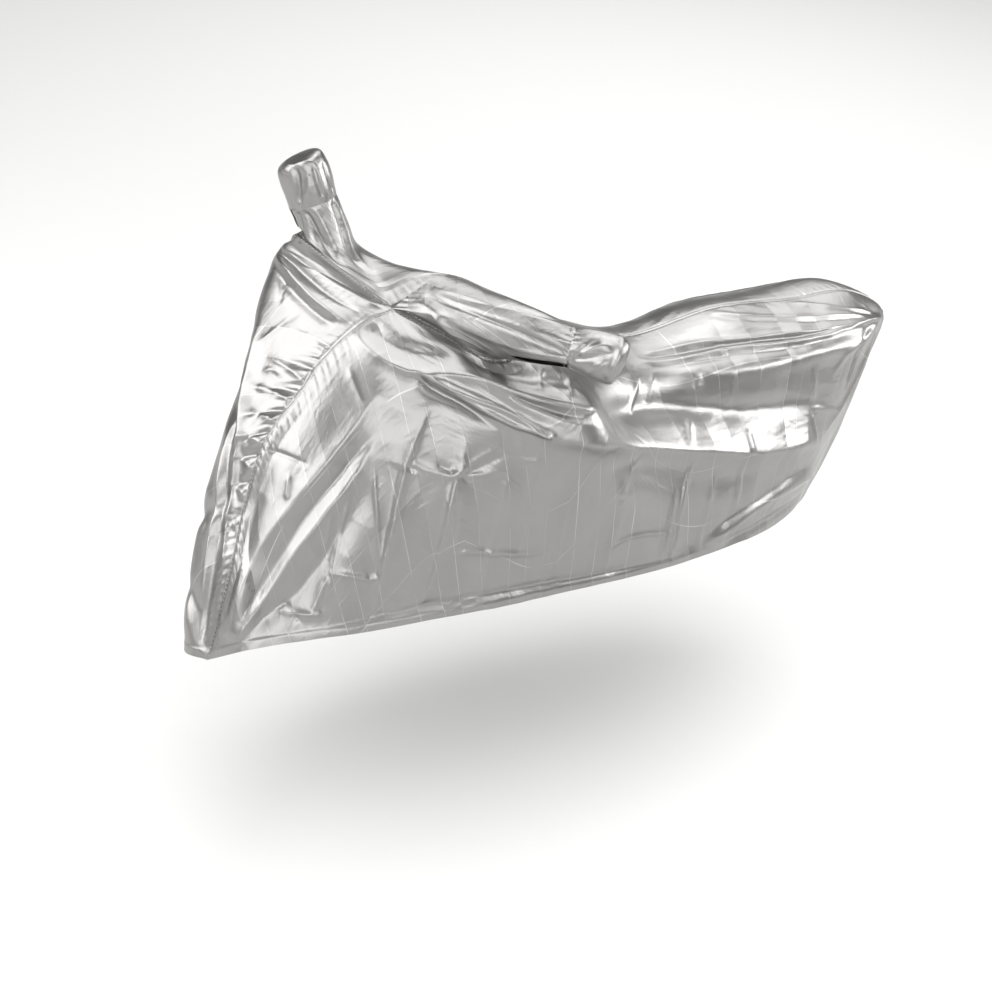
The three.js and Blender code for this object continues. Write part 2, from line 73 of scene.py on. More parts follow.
# The right panel's brow, side and hem. Its top edge is the left one's, but for the foot of its pocket.
rightSections = {
    "nose": [(1238, 200, 470)] * 3,
    "fender": [(1228, 108, 590), (1256, 124, 518), (1262, 140, 456)],
    "fork": [(1189, 52, 724), (1205, 42, 600), (1196, 55, 464)],
    "forkTop": [(1157, 20, 795), (1145, -22, 640), (1120, -20, 460)],
    "lamp": [(1104, -26, 900), (1075, -85, 690), (1045, -95, 457)],
    "lampTop": [(1062, -67, 988), (1010, -140, 740), (965, -152, 456)],
    "yoke": [(1027, -103, 1066), (960, -178, 775), (890, -186, 455)],
    "bars": [(997, -124, 1112), (930, -195, 800), (820, -206, 455)],
    "pocketFront": [(988, -142, 1122), (890, -206, 815), (745, -220, 455)],
    "pocketFoot": [(972, -158, 1124), (835, -216, 815), (670, -230, 455)],
    "grip": [(930, -186, 1086), (770, -226, 805), (590, -236, 455)],
    "pocketBack": [(810, -192, 1030), (660, -232, 780), (500, -240, 455)],
    "tank": [(520, -150, 945), (450, -232, 745), (380, -240, 455)],
    "seatFront": [(350, -130, 895), (300, -222, 722), (262, -234, 455)],
    "seatDip": [(235, -120, 880), (195, -212, 708), (165, -226, 455)],
    "seat": [(35, -122, 912), (25, -196, 700), (20, -208, 455)],
    "pillion": [(-168, -112, 930), (-130, -168, 698), (-99, -174, 452)],
    "tailTop": [(-322, -98, 935), (-245, -134, 690), (-192, -132, 450)],
    "tailTip": [(-418, -62, 850), (-312, -100, 655), (-250, -95, 446)],
    "tailUnder": [(-388, -54, 745), (-330, -82, 602), (-280, -76, 444)],
    "tailBack": [(-374, -40, 632), (-336, -58, 545), (-304, -52, 442)],
    "rear": [(-344, 0, 438)] * 3,
}
rightFoot = {
    "pocketFront": (905, 15, 1132),
    "pocketFoot": (962, -78, 1174),
    "grip": (955, -138, 1158),
    "pocketBack": (850, -130, 1092),
}
sectionNames = list(leftSections)
barRow = sectionNames.index("bars")
tankRow = sectionNames.index("tank")
lastRow = len(sectionNames) - 1
# The seam between the two pockets, from its back end to its front end.
pocketSeam = [(630, 35, 1078), (684, 54, 1122), (745, 66, 1138), (800, 74, 1118), (845, 82, 1092)]

# The left and right pockets: middle, axis, height and depth of each ring, the tip of the cap, and the slit.
leftPocket = {
    "turn": 35, "seamTurn": -225, "start": 60, "across": (0.67, 0.74, 0), "up": (0, 0, 1),
    "sleeve": [
        ((628, 232, 1077), (-0.74, 0.67, -0.03), 50, 50),
        ((572, 284, 1070), (-0.72, 0.69, -0.03), 37, 38),
    ],
    "cap": [
        ((556, 300, 1070), (-0.72, 0.69, -0.1), 43, 41),
        ((520, 334, 1063), (-0.7, 0.67, -0.25), 48, 40),
        ((506, 347, 1058), (-0.7, 0.67, -0.25), 42, 34),
    ],
    "tip": (500, 352, 1056),
    "slit": {"middle": (622, 282, 1044), "along": (-0.8, 0.59, 0.02), "out": (0.5, 0.55, -0.67),
             "long": 66, "wide": 9, "lip": 30},
}
rightPocket = {
    "turn": 148, "seamTurn": -162, "start": 80, "across": (0.88, -0.47, 0), "up": (0.47, 0.88, 0),
    "sleeve": [
        ((902, -79, 1168), (-0.25, 0.13, 0.96), 56, 60),
        ((918, -95, 1200), (0.1, -0.08, 0.98), 46, 49),
        ((932, -107, 1238), (0.3, -0.18, 0.94), 41, 46),
    ],
    "cap": [
        ((940, -111, 1268), (0.44, -0.23, 0.87), 43, 49),
        ((949, -116, 1293), (0.44, -0.23, 0.87), 41, 49),
        ((957, -120, 1315), (0.44, -0.23, 0.87), 34, 42),
    ],
    "tip": (960, -122, 1323),
    "slit": {"middle": (966, -104, 1212), "along": (0.31, -0.3, 0.9), "out": (0.98, -0.14, 0),
             "long": 34, "wide": 6, "lip": 22},
}


# A fold: how wide and high it is, the points it runs through (x, z or x, y, z), how much of its height its
# two ends keep, how much wider its lower or front side is, and how sharp its crest is (2 soft, 1 a crease).
def fold(wide, high, route, ends=(0.2, 0.2), lean=1.0, edge=1.2):
    return {"wide": wide, "high": high, "route": route, "ends": ends, "lean": lean, "edge": edge}


leftFolds = [
    # lower swag along the side, with the hollow under it and the one over it
    fold(36, 20, [(604, 286, 889), (520, 295, 868), (414, 262, 822), (285, 224, 772), (145, 220, 739),
         (44, 216, 714), (-51, 203, 697), (-179, 171, 677), (-230, 148, 655)], (.5, .3), lean=0.6,
         edge=1.5),
    fold(36, -5, [(511, 283, 833), (366, 242, 752), (214, 222, 687), (105, 213, 662), (-6, 202, 659)],
         edge=2),
    fold(28, -14, [(450, 890), (285, 842), (150, 818), (40, 798), (-180, 778)], edge=2),
    fold(9, 5, [(685, 270, 972), (660, 281, 963), (618, 290, 945), (558, 291, 918), (503, 296, 903)],
         (.3, .3), lean=2, edge=1.3),
    # rounded edge along the top
    fold(26, 12, [(297, 117, 895), (169, 130, 887), (80, 147, 882), (11, 148, 880), (-145, 135, 882),
         (-300, 105, 880), (-400, 52, 884)], (0, .4), edge=1.7),
    # creases that run together at the tail tip
    fold(6, 5.5, [(231, 67, 912), (138, 75, 920), (21, 93, 924), (-77, 95, 923), (-196, 96, 918),
         (-369, 59, 905), (-425, 28, 892)], (.3, .6), edge=1.3),
    fold(6, -5.5, [(264, 77, 910), (146, 88, 913), (38, 99, 919), (-136, 104, 915), (-287, 90, 915)],
         edge=1.4),
    fold(7, 6, [(256, 93, 903), (175, 101, 904), (46, 105, 914), (-129, 111, 909), (-258, 99, 911),
         (-357, 66, 905), (-425, 30, 888)], (.3, .6), edge=1.3),
    fold(8, -4, [(240, 108, 896), (100, 118, 902), (-120, 122, 900), (-260, 108, 902)], edge=1.6),
    fold(7, 4, [(68, 12, 952), (-19, 44, 951), (-158, 63, 939), (-362, 58, 911)], (.2, .6), edge=1.3),
    fold(8, -3.5, [(60, 26, 950), (-30, 58, 945), (-170, 76, 932), (-330, 70, 914)], (.1, .3), edge=1.5),
    fold(6, 3.5, [(-160, 18, 954), (-186, 23, 952), (-285, 55, 942), (-376, 47, 917)], (0, .6), edge=1.3),
    fold(9, -6, [(-364, 68, 895), (-317, 102, 880), (-292, 111, 817), (-276, 118, 772)], (.4, 0), edge=1.4),
    fold(11, 7, [(-389, 60, 873), (-330, 99, 793), (-284, 120, 736), (-229, 149, 683)], (.4, .2), edge=1.3),
    fold(12, -6, [(-400, 46, 862), (-352, 78, 770), (-310, 98, 705)], (.3, 0), edge=1.5),
    fold(7, 4, [(-411, 44, 886), (-264, 122, 864), (-226, 137, 815)], (.4, 0)),
    # the fold over the rear corner
    fold(27, 12, [(140, 248, 515), (74, 246, 536), (-10, 227, 560), (-170, 172, 575), (-260, 125, 556)],
         (.2, .5), lean=0.7, edge=1.5),
    fold(14, -6, [(120, 246, 540), (62, 233, 565), (-54, 213, 588), (-159, 177, 606), (-240, 140, 590)],
         edge=1.4),
    fold(14, -7, [(90, 500), (-60, 500), (-250, 505)], edge=1.7),
    # band that crosses in front of the left pocket, and the leaf-shaped pleat at its end
    fold(8, 8, [(922, 73, 1061), (907, 115, 1038), (882, 146, 1021), (849, 165, 1007), (822, 176, 1002),
         (782, 198, 1007), (737, 223, 1006), (704, 246, 999), (664, 267, 988), (616, 280, 975),
         (560, 284, 958), (504, 282, 935)], (.4, .5), lean=1.8, edge=1.3),
    fold(17, -6, [(903, 79, 1076), (876, 124, 1054), (837, 152, 1036), (787, 176, 1032), (736, 197, 1025)],
         (.5, .2), edge=2),
    fold(8, 6, [(686, 260, 991), (659, 277, 976), (617, 284, 965), (574, 287, 951), (512, 289, 931)],
         (.2, .8), lean=0.4, edge=1.4),
    fold(7, -8, [(676, 266, 981), (640, 283, 960), (590, 289, 938), (530, 293, 915)], (.3, .2), edge=1.5),
    fold(9, 10, [(822, 177, 1001), (783, 202, 978), (744, 222, 955), (683, 255, 920), (604, 286, 889)],
         (.5, .8), lean=0.5, edge=1.3),
    fold(6, 6.5, [(791, 195, 988), (745, 223, 966), (678, 258, 940), (604, 286, 891)], (.3, .6)),
    fold(10, -10, [(830, 176, 994), (796, 200, 967), (747, 223, 942), (690, 252, 902)], (.4, 0), edge=1.4),
    fold(22, -11, [(740, 175, 1038), (690, 205, 1014), (620, 222, 1000), (540, 228, 985), (480, 215, 965)],
         edge=2),
    fold(5, 3.5, [(694, 195, 1017), (708, 232, 1005)]),
    fold(5, 3.5, [(576, 198, 989), (620, 271, 980)]),
    fold(5, 3.5, [(512, 201, 964), (553, 271, 960)]),
    # long folds from the left pocket to the nose
    fold(19, 9, [(910, 165, 961), (950, 172, 908), (1000, 180, 852), (1054, 181, 792), (1086, 182, 752),
         (1116, 181, 713), (1148, 187, 660), (1178, 201, 606), (1202, 220, 534)], (.3, .5), lean=0.7,
         edge=1.3),
    fold(15, -10, [(923, 193, 892), (958, 196, 853), (996, 194, 803), (1042, 194, 750), (1091, 200, 678),
         (1137, 211, 619), (1184, 224, 561)], (.2, .5), edge=1.4),
    fold(15, 9, [(917, 198, 885), (964, 198, 809), (1010, 204, 762), (1038, 208, 726), (1078, 207, 679),
         (1116, 218, 627), (1153, 224, 579), (1189, 229, 532)], (.2, .5), lean=0.8, edge=1.3),
    fold(24, -10, [(920, 215, 823), (966, 227, 753), (1005, 228, 694), (1043, 227, 639), (1083, 227, 596),
         (1130, 228, 567), (1185, 233, 527)], (.2, .4), edge=1.6),
    fold(20, -7, [(1025, 927), (1107, 796), (1165, 659), (1210, 534)], (.2, 0), edge=2),
    # small creases of the nose
    fold(5, -3.5, [(1097, 93, 847), (1065, 122, 842), (1033, 165, 837)]),
    fold(5, 3.5, [(1065, 148, 816), (1078, 171, 774)]),
    fold(5, 3, [(943, 115, 1002), (929, 164, 942)]),
    fold(6, 3.5, [(968, 210, 788), (994, 228, 705), (1020, 245, 598)], lean=0.6),
    fold(5, 3, [(1006, 218, 752), (1021, 228, 684)]),
    fold(6, 4, [(923, 209, 845), (921, 257, 634)], lean=0.5),
    fold(7, 4.5, [(1012, 231, 639), (968, 248, 630), (943, 257, 621), (919, 260, 622)], lean=0.6),
    fold(7, 5, [(1115, 228, 572), (1054, 251, 564), (1033, 255, 566)]),
    fold(7, 5, [(1054, 251, 566), (1016, 230, 635)]),
    fold(6, -4, [(1103, 594), (1075, 552)]),
    # hem
    fold(18, 6, [(1080, 522), (796, 526), (520, 518), (260, 504), (85, 502)], (.3, .3), edge=2),
    fold(8, -5, [(1010, 540), (880, 278, 545), (797, 283, 547), (665, 286, 543), (524, 283, 534),
         (371, 272, 524), (204, 255, 508)], edge=1.5),
    # crumples in the middle of the side
    fold(6, 3.5, [(866, 223, 837), (847, 226, 841), (829, 233, 827), (782, 248, 815)], (0, .4)),
    fold(6, 4, [(782, 248, 815), (762, 251, 824), (718, 256, 851), (680, 263, 876)], (.4, 0), lean=0.6),
    fold(5, -3.5, [(765, 250, 812), (712, 258, 836), (676, 264, 858)], (.4, 0)),
    fold(5, 3.5, [(770, 254, 812), (663, 272, 817)], (.4, 0), lean=0.6),
    fold(5, 2.5, [(664, 270, 838), (606, 277, 832)], (0, 0)),
    fold(5, -3, [(779, 819), (808, 843)], (.4, 0)),
    fold(5, 3, [(765, 252, 810), (776, 271, 668)], (.4, 0), lean=0.5),
    # creases of packing, upright and level
    fold(18, 8.5, [(812, 202, 951), (847, 219, 880), (866, 223, 837), (889, 237, 752), (919, 258, 630),
         (931, 272, 554)], (0, .3), lean=0.3),
    fold(15, 7.5, [(758, 235, 894), (763, 246, 839), (775, 253, 799), (804, 268, 661), (822, 275, 586),
         (832, 278, 558)], lean=0.3),
    fold(13, 7, [(671, 271, 814), (684, 277, 728), (698, 280, 631), (710, 282, 566)], lean=0.3),
    fold(6, 4, [(604, 286, 878), (622, 279, 792), (632, 283, 691), (641, 283, 584)]),
    fold(11, 6.5, [(523, 277, 812), (542, 285, 704), (549, 283, 594), (556, 284, 540)], lean=0.35),
    fold(11, 6.5, [(355, 239, 783), (381, 253, 741), (407, 275, 645), (411, 276, 528)], lean=0.4),
    fold(6, -5, [(373, 246, 775), (400, 262, 680), (424, 276, 560)]),
    fold(7, 5.5, [(186, 222, 736), (210, 227, 675), (229, 251, 585), (232, 260, 500)], lean=0.5),
    fold(6, 5, [(238, 235, 673), (257, 255, 581), (261, 262, 508)], lean=0.5),
    fold(5, 4, [(126, 213, 678), (150, 243, 551), (154, 248, 503)]),
    fold(6, 5, [(48, 215, 702), (60, 235, 568)], lean=0.5),
    fold(6, 5, [(410, 275, 590), (356, 268, 599), (233, 252, 574)], lean=0.6),
    fold(9, 5.5, [(777, 272, 651), (730, 277, 650), (669, 281, 635), (552, 284, 615)], lean=0.4),
    fold(6, 4.5, [(299, 126, 889), (335, 189, 848)], lean=0.5),
    fold(5, 3, [(258, 121, 887), (284, 165, 843)]),
    fold(6, 4.5, [(157, 136, 883), (154, 149, 850)], lean=0.5),
    fold(5, 3, [(70, 149, 879), (77, 165, 798)]),
    fold(6, 5, [(189, 177, 798), (203, 215, 766)]),
    fold(6, 5, [(44, 190, 762), (39, 216, 715)]),
    fold(6, 4.5, [(-170, 158, 749), (-181, 170, 682)], lean=0.5),
    fold(6, 4, [(-160, 143, 862), (-173, 153, 771)], lean=0.5),
    fold(6, 4, [(-169, 156, 758), (-266, 125, 724)]),
]
rightFolds = [
    # the edge between the front face and the far side
    fold(20, 9, [(1045, 1032), (1099, 904), (1154, 774), (1204, 634), (1244, 526)], edge=2),
    fold(18, -9, [(1033, 1026), (1087, 911), (1142, 779), (1200, 622), (1235, 523)], (0, .2), edge=2),
    # swags along the far side
    fold(46, 19, [(880, 950), (700, 868), (440, 800), (190, 742), (30, 722), (-190, 690)], lean=0.5,
         edge=1.5),
    fold(40, -15, [(800, 850), (520, 752), (200, 680), (-130, 630)], (0, 0), edge=2),
    fold(34, -12, [(420, 850), (150, 802), (-190, 780)], (0, 0), edge=2),
    fold(22, 13, [(1170, 500), (1050, 690), (960, 850), (930, 1000)], (0, .2), lean=0.7, edge=1.4),
    fold(30, -12, [(1120, 500), (960, 640), (830, 780)], (0, 0), edge=1.8),
    fold(26, 14, [(-265, 570), (-140, 590), (60, 552), (150, 510)], (.4, .2), edge=1.5),
    fold(24, -10, [(-330, 850), (-270, 740), (-215, 660)], (.2, 0), edge=2),
    fold(20, 7, [(1000, 485), (700, 480), (300, 478), (0, 476)], (.3, .3), edge=2),
    fold(7, 6, [(-425, -30, 880), (-240, -95, 918), (-70, -104, 915), (120, -100, 905)], (.5, .1),
         edge=1.3),
    fold(10, 6, [(-415, -38, 875), (-220, -124, 870), (-40, -150, 850), (150, -150, 845)], (.5, .1),
         edge=1.4),
    # creases of packing on the far side
    fold(14, 5, [(760, 900), (790, 700), (815, 490)], lean=0.3),
    fold(12, 5, [(560, 830), (585, 660), (600, 490)], lean=0.3),
    fold(8, 4, [(380, 790), (400, 640), (412, 490)], lean=0.4),
    fold(7, 4, [(180, 735), (205, 600), (220, 480)], lean=0.5),
    fold(6, 3.5, [(40, 715), (55, 590), (60, 480)], lean=0.5),
    fold(8, 4, [(820, 640), (690, 632), (540, 610)], lean=0.4),
    # slanting folds below the right pocket
    fold(9, 7, [(978, -122, 1139), (953, -57, 1126), (923, -6, 1110), (879, 57, 1093), (853, 81, 1088)],
         (.6, .3), edge=1.4),
    fold(8, -8, [(985, -124, 1131), (966, -56, 1116), (943, -5, 1098), (904, 58, 1080)], (.6, .3),
         edge=1.5),
    fold(9, 9, [(990, -125, 1123), (979, -55, 1106), (963, -4, 1086), (929, 60, 1066)], (.6, .3), edge=1.3),
    fold(10, -6, [(1002, -118, 1108), (992, -48, 1088), (965, 20, 1066), (945, 52, 1056)], (.4, .2),
         edge=1.5),
    # sharp edge of the front face, and the flutes beside it
    fold(9, 7, [(1080, -44, 955), (1130, 48, 841), (1157, 90, 737), (1176, 122, 672), (1196, 160, 595)],
         (.3, .3), lean=0.6, edge=1.3),
    fold(11, -9, [(1090, -40, 925), (1151, 61, 775), (1186, 107, 672), (1218, 144, 566), (1240, 170, 500)],
         (.2, .3), edge=1.5),
    fold(8, 5, [(1112, -10, 875), (1168, 60, 745), (1210, 118, 610), (1243, 165, 505)], edge=1.3),
    fold(7, 4, [(1054, -64, 1009), (1094, -6, 917)], edge=1.3),
    # small creases of the front face
    fold(6, -3.5, [(995, -79, 1104), (1016, -47, 1059)], (0, 0)),
    fold(6, 3.5, [(1065, 0, 954), (1046, 17, 968), (1039, 41, 957)], (0, 0)),
    fold(6, -3.5, [(997, 12, 1037), (975, 48, 1030), (963, 77, 1018)], (0, 0)),
    fold(7, 3.5, [(1062, -46, 987), (1031, -26, 1024), (990, -9, 1063)], (0, 0)),
]
# Crumples of the front face beside the nose seam: place along the sections, how far along and down they
# run, and height.
seamCrumples = [
    (1.5, 0.25, 0.16, 5), (1.75, -0.2, 0.14, -5), (2.05, 0.2, 0.2, 6), (2.3, -0.18, 0.17, -6),
    (2.5, 0.3, 0.22, 7), (2.75, -0.1, 0.2, -7), (2.95, 0.22, 0.24, 7), (3.2, -0.2, 0.18, -6),
    (3.4, 0.15, 0.23, 7), (3.65, -0.22, 0.2, -7), (3.85, 0.2, 0.26, 6), (4.1, -0.12, 0.18, -5),
    (4.35, 0.25, 0.22, 5), (4.7, -0.15, 0.15, -4), (5.1, 0.2, 0.16, 4),
]
leftSleeveFolds = [
    # long folds down the sleeve
    fold(7, -6, [(753, 114, 1125), (723, 152, 1125), (694, 188, 1126), (649, 228, 1126), (609, 260, 1120)],
         (.3, .3), edge=1.4),
    fold(8, 6, [(766, 89, 1127), (738, 125, 1128), (711, 162, 1127), (685, 199, 1126), (653, 236, 1123),
         (586, 281, 1110)], (.3, .4), edge=1.4),
    fold(7, -8, [(780, 95, 1119), (755, 136, 1116), (730, 176, 1113), (694, 227, 1106), (647, 277, 1092),
         (602, 309, 1073)], (.3, .6), edge=1.4),
    fold(9, 6, [(800, 100, 1108), (778, 143, 1100), (755, 170, 1090), (711, 218, 1078), (663, 266, 1070),
         (602, 308, 1063)], (.3, .3), edge=1.4),
    # the rolled edge over the foot seam
    fold(9, 9, [(792, 131, 1099), (773, 150, 1083), (740, 171, 1054), (702, 199, 1033)], (.3, .4),
         edge=1.5),
]
rightSleeveFolds = [
    # the crease from the neck across the sleeve, and the stripes down its back edge
    fold(7, -7, [(960, -83, 1237), (944, -57, 1201), (927, -27, 1166), (905, 5, 1140)], (.4, .2), edge=1.3),
    fold(10, 4, [(940, -72, 1235), (925, -50, 1200), (908, -22, 1160)], edge=1.5),
    fold(6, -4.5, [(913, -76, 1259), (899, -61, 1219), (890, -38, 1175), (868, 0, 1140)], (.4, .3),
         edge=1.4),
    fold(7, 3.5, [(905, -80, 1245), (888, -63, 1213), (877, -40, 1169), (856, -6, 1138)], (.4, .3),
         edge=1.4),
    fold(6, -5, [(970, -93, 1238), (964, -85, 1202), (962, -82, 1173)], (.4, .3), edge=1.4),
    fold(9, 5, [(939, -43, 1141), (894, 17, 1135), (848, 56, 1110)], edge=1.4),
]
leftCapFolds = [
    # gathers from the neck, the bright facet between them, and the edge of the end
    fold(5, -4, [(590, 322, 1072), (551, 329, 1108)], (.6, 0), edge=1.3),
    fold(5, 4, [(584, 327, 1080), (560, 340, 1098), (537, 350, 1104)], (.6, 0), edge=1.3),
    fold(5, -4, [(588, 324, 1067), (538, 360, 1091)], (.6, .2), edge=1.3),
    fold(5, 4, [(571, 333, 1044), (548, 361, 1075)], (.4, .2), edge=1.3),
    fold(7, 6, [(507, 340, 1107), (531, 369, 1080), (540, 360, 1039)], (.4, .4), edge=1.3),
]
rightCapFolds = [
    # the valley between the two lobes of the hood, and the slanted gathers on the nearer one
    fold(8, -9, [(977, -97, 1312), (972, -83, 1301), (970, -81, 1281), (970, -84, 1253)], (.3, .8),
         edge=1.4),
    fold(4.5, -3, [(946, -82, 1321), (941, -71, 1295), (931, -70, 1265)], (0, .8), edge=1.3),
    fold(5, 3, [(941, -81, 1320), (934, -71, 1295), (925, -71, 1268)], (0, .8), edge=1.3),
    fold(4.5, -3, [(960, -78, 1306), (962, -76, 1269)], (0, .8), edge=1.3),
    fold(5, 3, [(957, -77, 1306), (955, -73, 1269)], (0, .8), edge=1.3),
    fold(5, -3, [(924, -85, 1322), (918, -75, 1296), (907, -80, 1267)], (0, .8), edge=1.3),
]


# The smooth curve that the solids use, read at shares from 0 to 1, for any number of curves at once.
def spline(points, shares):
    points = np.asarray(points, float)
    spans = points.shape[-2] - 1
    before = 2 * points[..., :1, :] - points[..., 1:2, :]
    after = 2 * points[..., -1:, :] - points[..., -2:-1, :]
    full = np.concatenate([before, points, after], axis=-2)
    place = np.clip(np.asarray(shares, float) * spans, 0, spans - 1e-9)
    low = place.astype(int)
    weight = (place - low)[:, None]
    p0, p1, p2, p3 = (full[..., low + k, :] for k in range(4))
    gaps = [np.sum((b - a) ** 2, -1, keepdims=True) ** 0.25 for a, b in ((p0, p1), (p1, p2), (p2, p3))]
    middle = np.where(gaps[1] < 1e-4, 1.0, gaps[1])
    first = np.where(gaps[0] < 1e-4, middle, gaps[0])
    last = np.where(gaps[2] < 1e-4, middle, gaps[2])
    out = ((p1 - p0) / first - (p2 - p0) / (first + middle) + (p2 - p1) / middle) * middle
    into = ((p2 - p1) / middle - (p3 - p1) / (middle + last) + (p3 - p2) / last) * middle
    square = -3 * p1 + 3 * p2 - 2 * out - into
    cube = 2 * p1 - 2 * p2 + out + into
    return p1 + out * weight + square * weight ** 2 + cube * weight ** 3


def unit(vectors):
    return vectors / np.maximum(np.linalg.norm(vectors, axis=-1, keepdims=True), 1e-9)


# Cloth of the side panels: rows from the top edge to the hem, columns between the sections, the sheet, the
# hem, and how far from a seam or an end the folds begin.
panelCloth = {
    "rows": 160, "frontSteps": 33, "footSteps": 12, "backSteps": 27, "thickness": 0.8, "insideStep": 3,
    "hemDeep": 20, "hemHigh": 1.2, "hemStep": 4, "seamFade": 30, "endFade": 60, "crumpleFade": 8,
    "crumpleWide": 8, "sharpAngle": 1.2,
}


def sectionPlaces():
    front = np.linspace(0, barRow, barRow * panelCloth["frontSteps"] + 1)
    foot = np.linspace(barRow, tankRow, (tankRow - barRow) * panelCloth["footSteps"] + 1)
    back = np.linspace(tankRow, lastRow, (lastRow - tankRow) * panelCloth["backSteps"] + 1)
    return np.concatenate([front, foot[1:], back[1:]])


places = sectionPlaces()


def topRail(tops):
    parts = [(0, barRow), (barRow, tankRow), (tankRow, lastRow)]
    rail = np.zeros((len(places), 3))
    for first, last in parts:
        inside = (places >= first) & (places <= last)
        rail[inside] = spline(tops[first:last + 1], (places[inside] - first) / (last - first))
    return rail


def panelGrid(rows, others):
    tops, brows, sides, hems = (np.array([row[k] for row in rows], float) for k in range(4))
    leads = np.array([row[1] for row in others], float)
    leads[barRow:tankRow + 1] = (2 * tops - brows)[barRow:tankRow + 1]
    rails = [spline(leads, places / lastRow), topRail(tops)]
    rails += [spline(line, places / lastRow) for line in (brows, sides, hems)]
    shares = (1 + 3 * np.linspace(0, 1, panelCloth["rows"])) / 4
    return spline(np.stack(rails, axis=1), shares)


def gridNormals(grid, ringed, flip):
    along = np.roll(grid, -1, 0) - np.roll(grid, 1, 0) if ringed else np.gradient(grid, axis=0)
    normals = unit(np.cross(along, np.gradient(grid, axis=1)))
    if ringed:
        tip = np.linalg.norm(along[:, -1], axis=1).max() < 1e-6
        if tip:
            normals[:, -1] = unit(normals[:, -2].mean(axis=0))
    else:
        normals[0] = normals[1]
        normals[-1] = normals[-2]
    return -normals if flip else normals


# A smooth random field of about -1 to 1, with bumps of about the given size.
def unevenness(points, size, seed, waves=16):
    rng = np.random.default_rng(seed)
    total = np.zeros(points.shape[:-1])
    for _ in range(waves):
        direction = unit(rng.normal(size=3))
        turn = 2 * np.pi / size * rng.uniform(0.6, 1.3)
        total += np.sin(points @ direction * turn + rng.uniform(0, 2 * np.pi))
    return total / np.sqrt(waves)


# Crumpled cloth: flat facets that meet in sharp lines.
def crumple(points, size, seed):
    shifts = [unevenness(points, 2 * size, seed + k) for k in range(3)]
    warped = points + 0.25 * size * np.stack(shifts, axis=-1)
    return 0.6 - np.abs(unevenness(warped, size, seed + 3))


# The route of a fold on the cloth, as a line of evenly spaced points that is smoothed a few times.
def traced(points, route, spacing=10, passes=3):
    placed = []
    for at in route:
        given = points[:, [0, 2]] - at if len(at) == 2 else points - at
        placed.append(points[np.argmin(np.sum(given ** 2, axis=1))] if len(at) == 2 else at)
    placed = np.array(placed, float)
    spans = np.linalg.norm(np.diff(placed, axis=0), axis=1)
    count = max(int(spans.sum() / spacing), 3)
    line = spline(placed, np.linspace(0, 1, count + 1))
    near = np.array([points[np.argmin(np.sum((points - p) ** 2, axis=1))] for p in line])
    for _ in range(passes):
        near[1:-1] = (near[:-2] + 2 * near[1:-1] + near[2:]) / 4
    return near


# The lower side of a level fold, and the front side of an upright one.
leanSide = np.array([0.35, 0.0, -1.0])


def foldHeights(grid, folds):
    points = grid.reshape(-1, 3)
    total = np.zeros(len(points))
    for one in folds:
        line = traced(points, one["route"])
        reach = 3 * one["wide"] * max(one["lean"], 1.0) * (2.0 / one["edge"])
        inside = np.all((points > line.min(axis=0) - reach) & (points < line.max(axis=0) + reach), axis=1)
        some = points[inside]
        best = np.full(len(some), 1e9)
        share = np.zeros(len(some))
        below = np.zeros(len(some), bool)
        for k in range(len(line) - 1):
            span = line[k + 1] - line[k]
            length = max(float(span @ span), 1e-6)
            held = np.clip((some - line[k]) @ span / length, 0, 1)
            off = some - line[k] - held[:, None] * span
            distance = np.linalg.norm(off, axis=1)
            closer = distance < best
            best[closer] = distance[closer]
            share[closer] = (k + held[closer]) / (len(line) - 1)
            below[closer] = off[closer] @ leanSide > 0
        width = one["wide"] * np.where(below, one["lean"], 1.0)
        ends = np.minimum(1, np.minimum(4 * share + one["ends"][0], 4 * (1 - share) + one["ends"][1]))
        total[inside] += one["high"] * ends * np.exp(-(best / width) ** one["edge"])
    return total.reshape(grid.shape[:2])


# Distance along each row of a grid, and down each of its columns.
def clothDistances(grid):
    along = np.linalg.norm(np.diff(grid, axis=0), axis=2)
    down = np.linalg.norm(np.diff(grid, axis=1), axis=2)
    first = np.zeros(grid.shape[:2])
    first[1:] = np.cumsum(along, axis=0)
    second = np.zeros(grid.shape[:2])
    second[:, 1:] = np.cumsum(down, axis=1)
    return first, second


# Crinkles square to a seam, which the sewing thread draws up, uneven in pitch and in strength.
def puckers(along, away, settings):
    reach, pitch, high = settings["reach"], settings["pitch"], settings["high"]
    phase = 2 * np.pi * (along + 0.3 * away + 6 * np.sin(along / 61)) / pitch
    wave = 0.7 * np.sin(phase) + 0.4 * np.sin(1.63 * phase + 2.1)
    strength = 0.7 + 0.4 * np.sin(along / 74 + settings["start"]) + 0.25 * np.sin(along / 31)
    rise = away / reach * np.exp(1 - away / reach)
    return high * np.clip(strength, 0.15, None) * wave * rise


def gridQuads(columns, rows, flip):
    ids = np.arange(columns * rows).reshape(columns, rows)
    quads = np.stack([ids[:-1, :-1], ids[:-1, 1:], ids[1:, 1:], ids[1:, :-1]], axis=-1).reshape(-1, 4)
    return quads if flip else quads[:, ::-1]


# Faces of a grid with the corners that fall together taken as one.
def weldedFaces(quads, weld):
    faces = []
    for quad in weld[quads].tolist():
        face = list(dict.fromkeys(quad))
        if len(face) > 2:
            faces.append(face)
    return faces


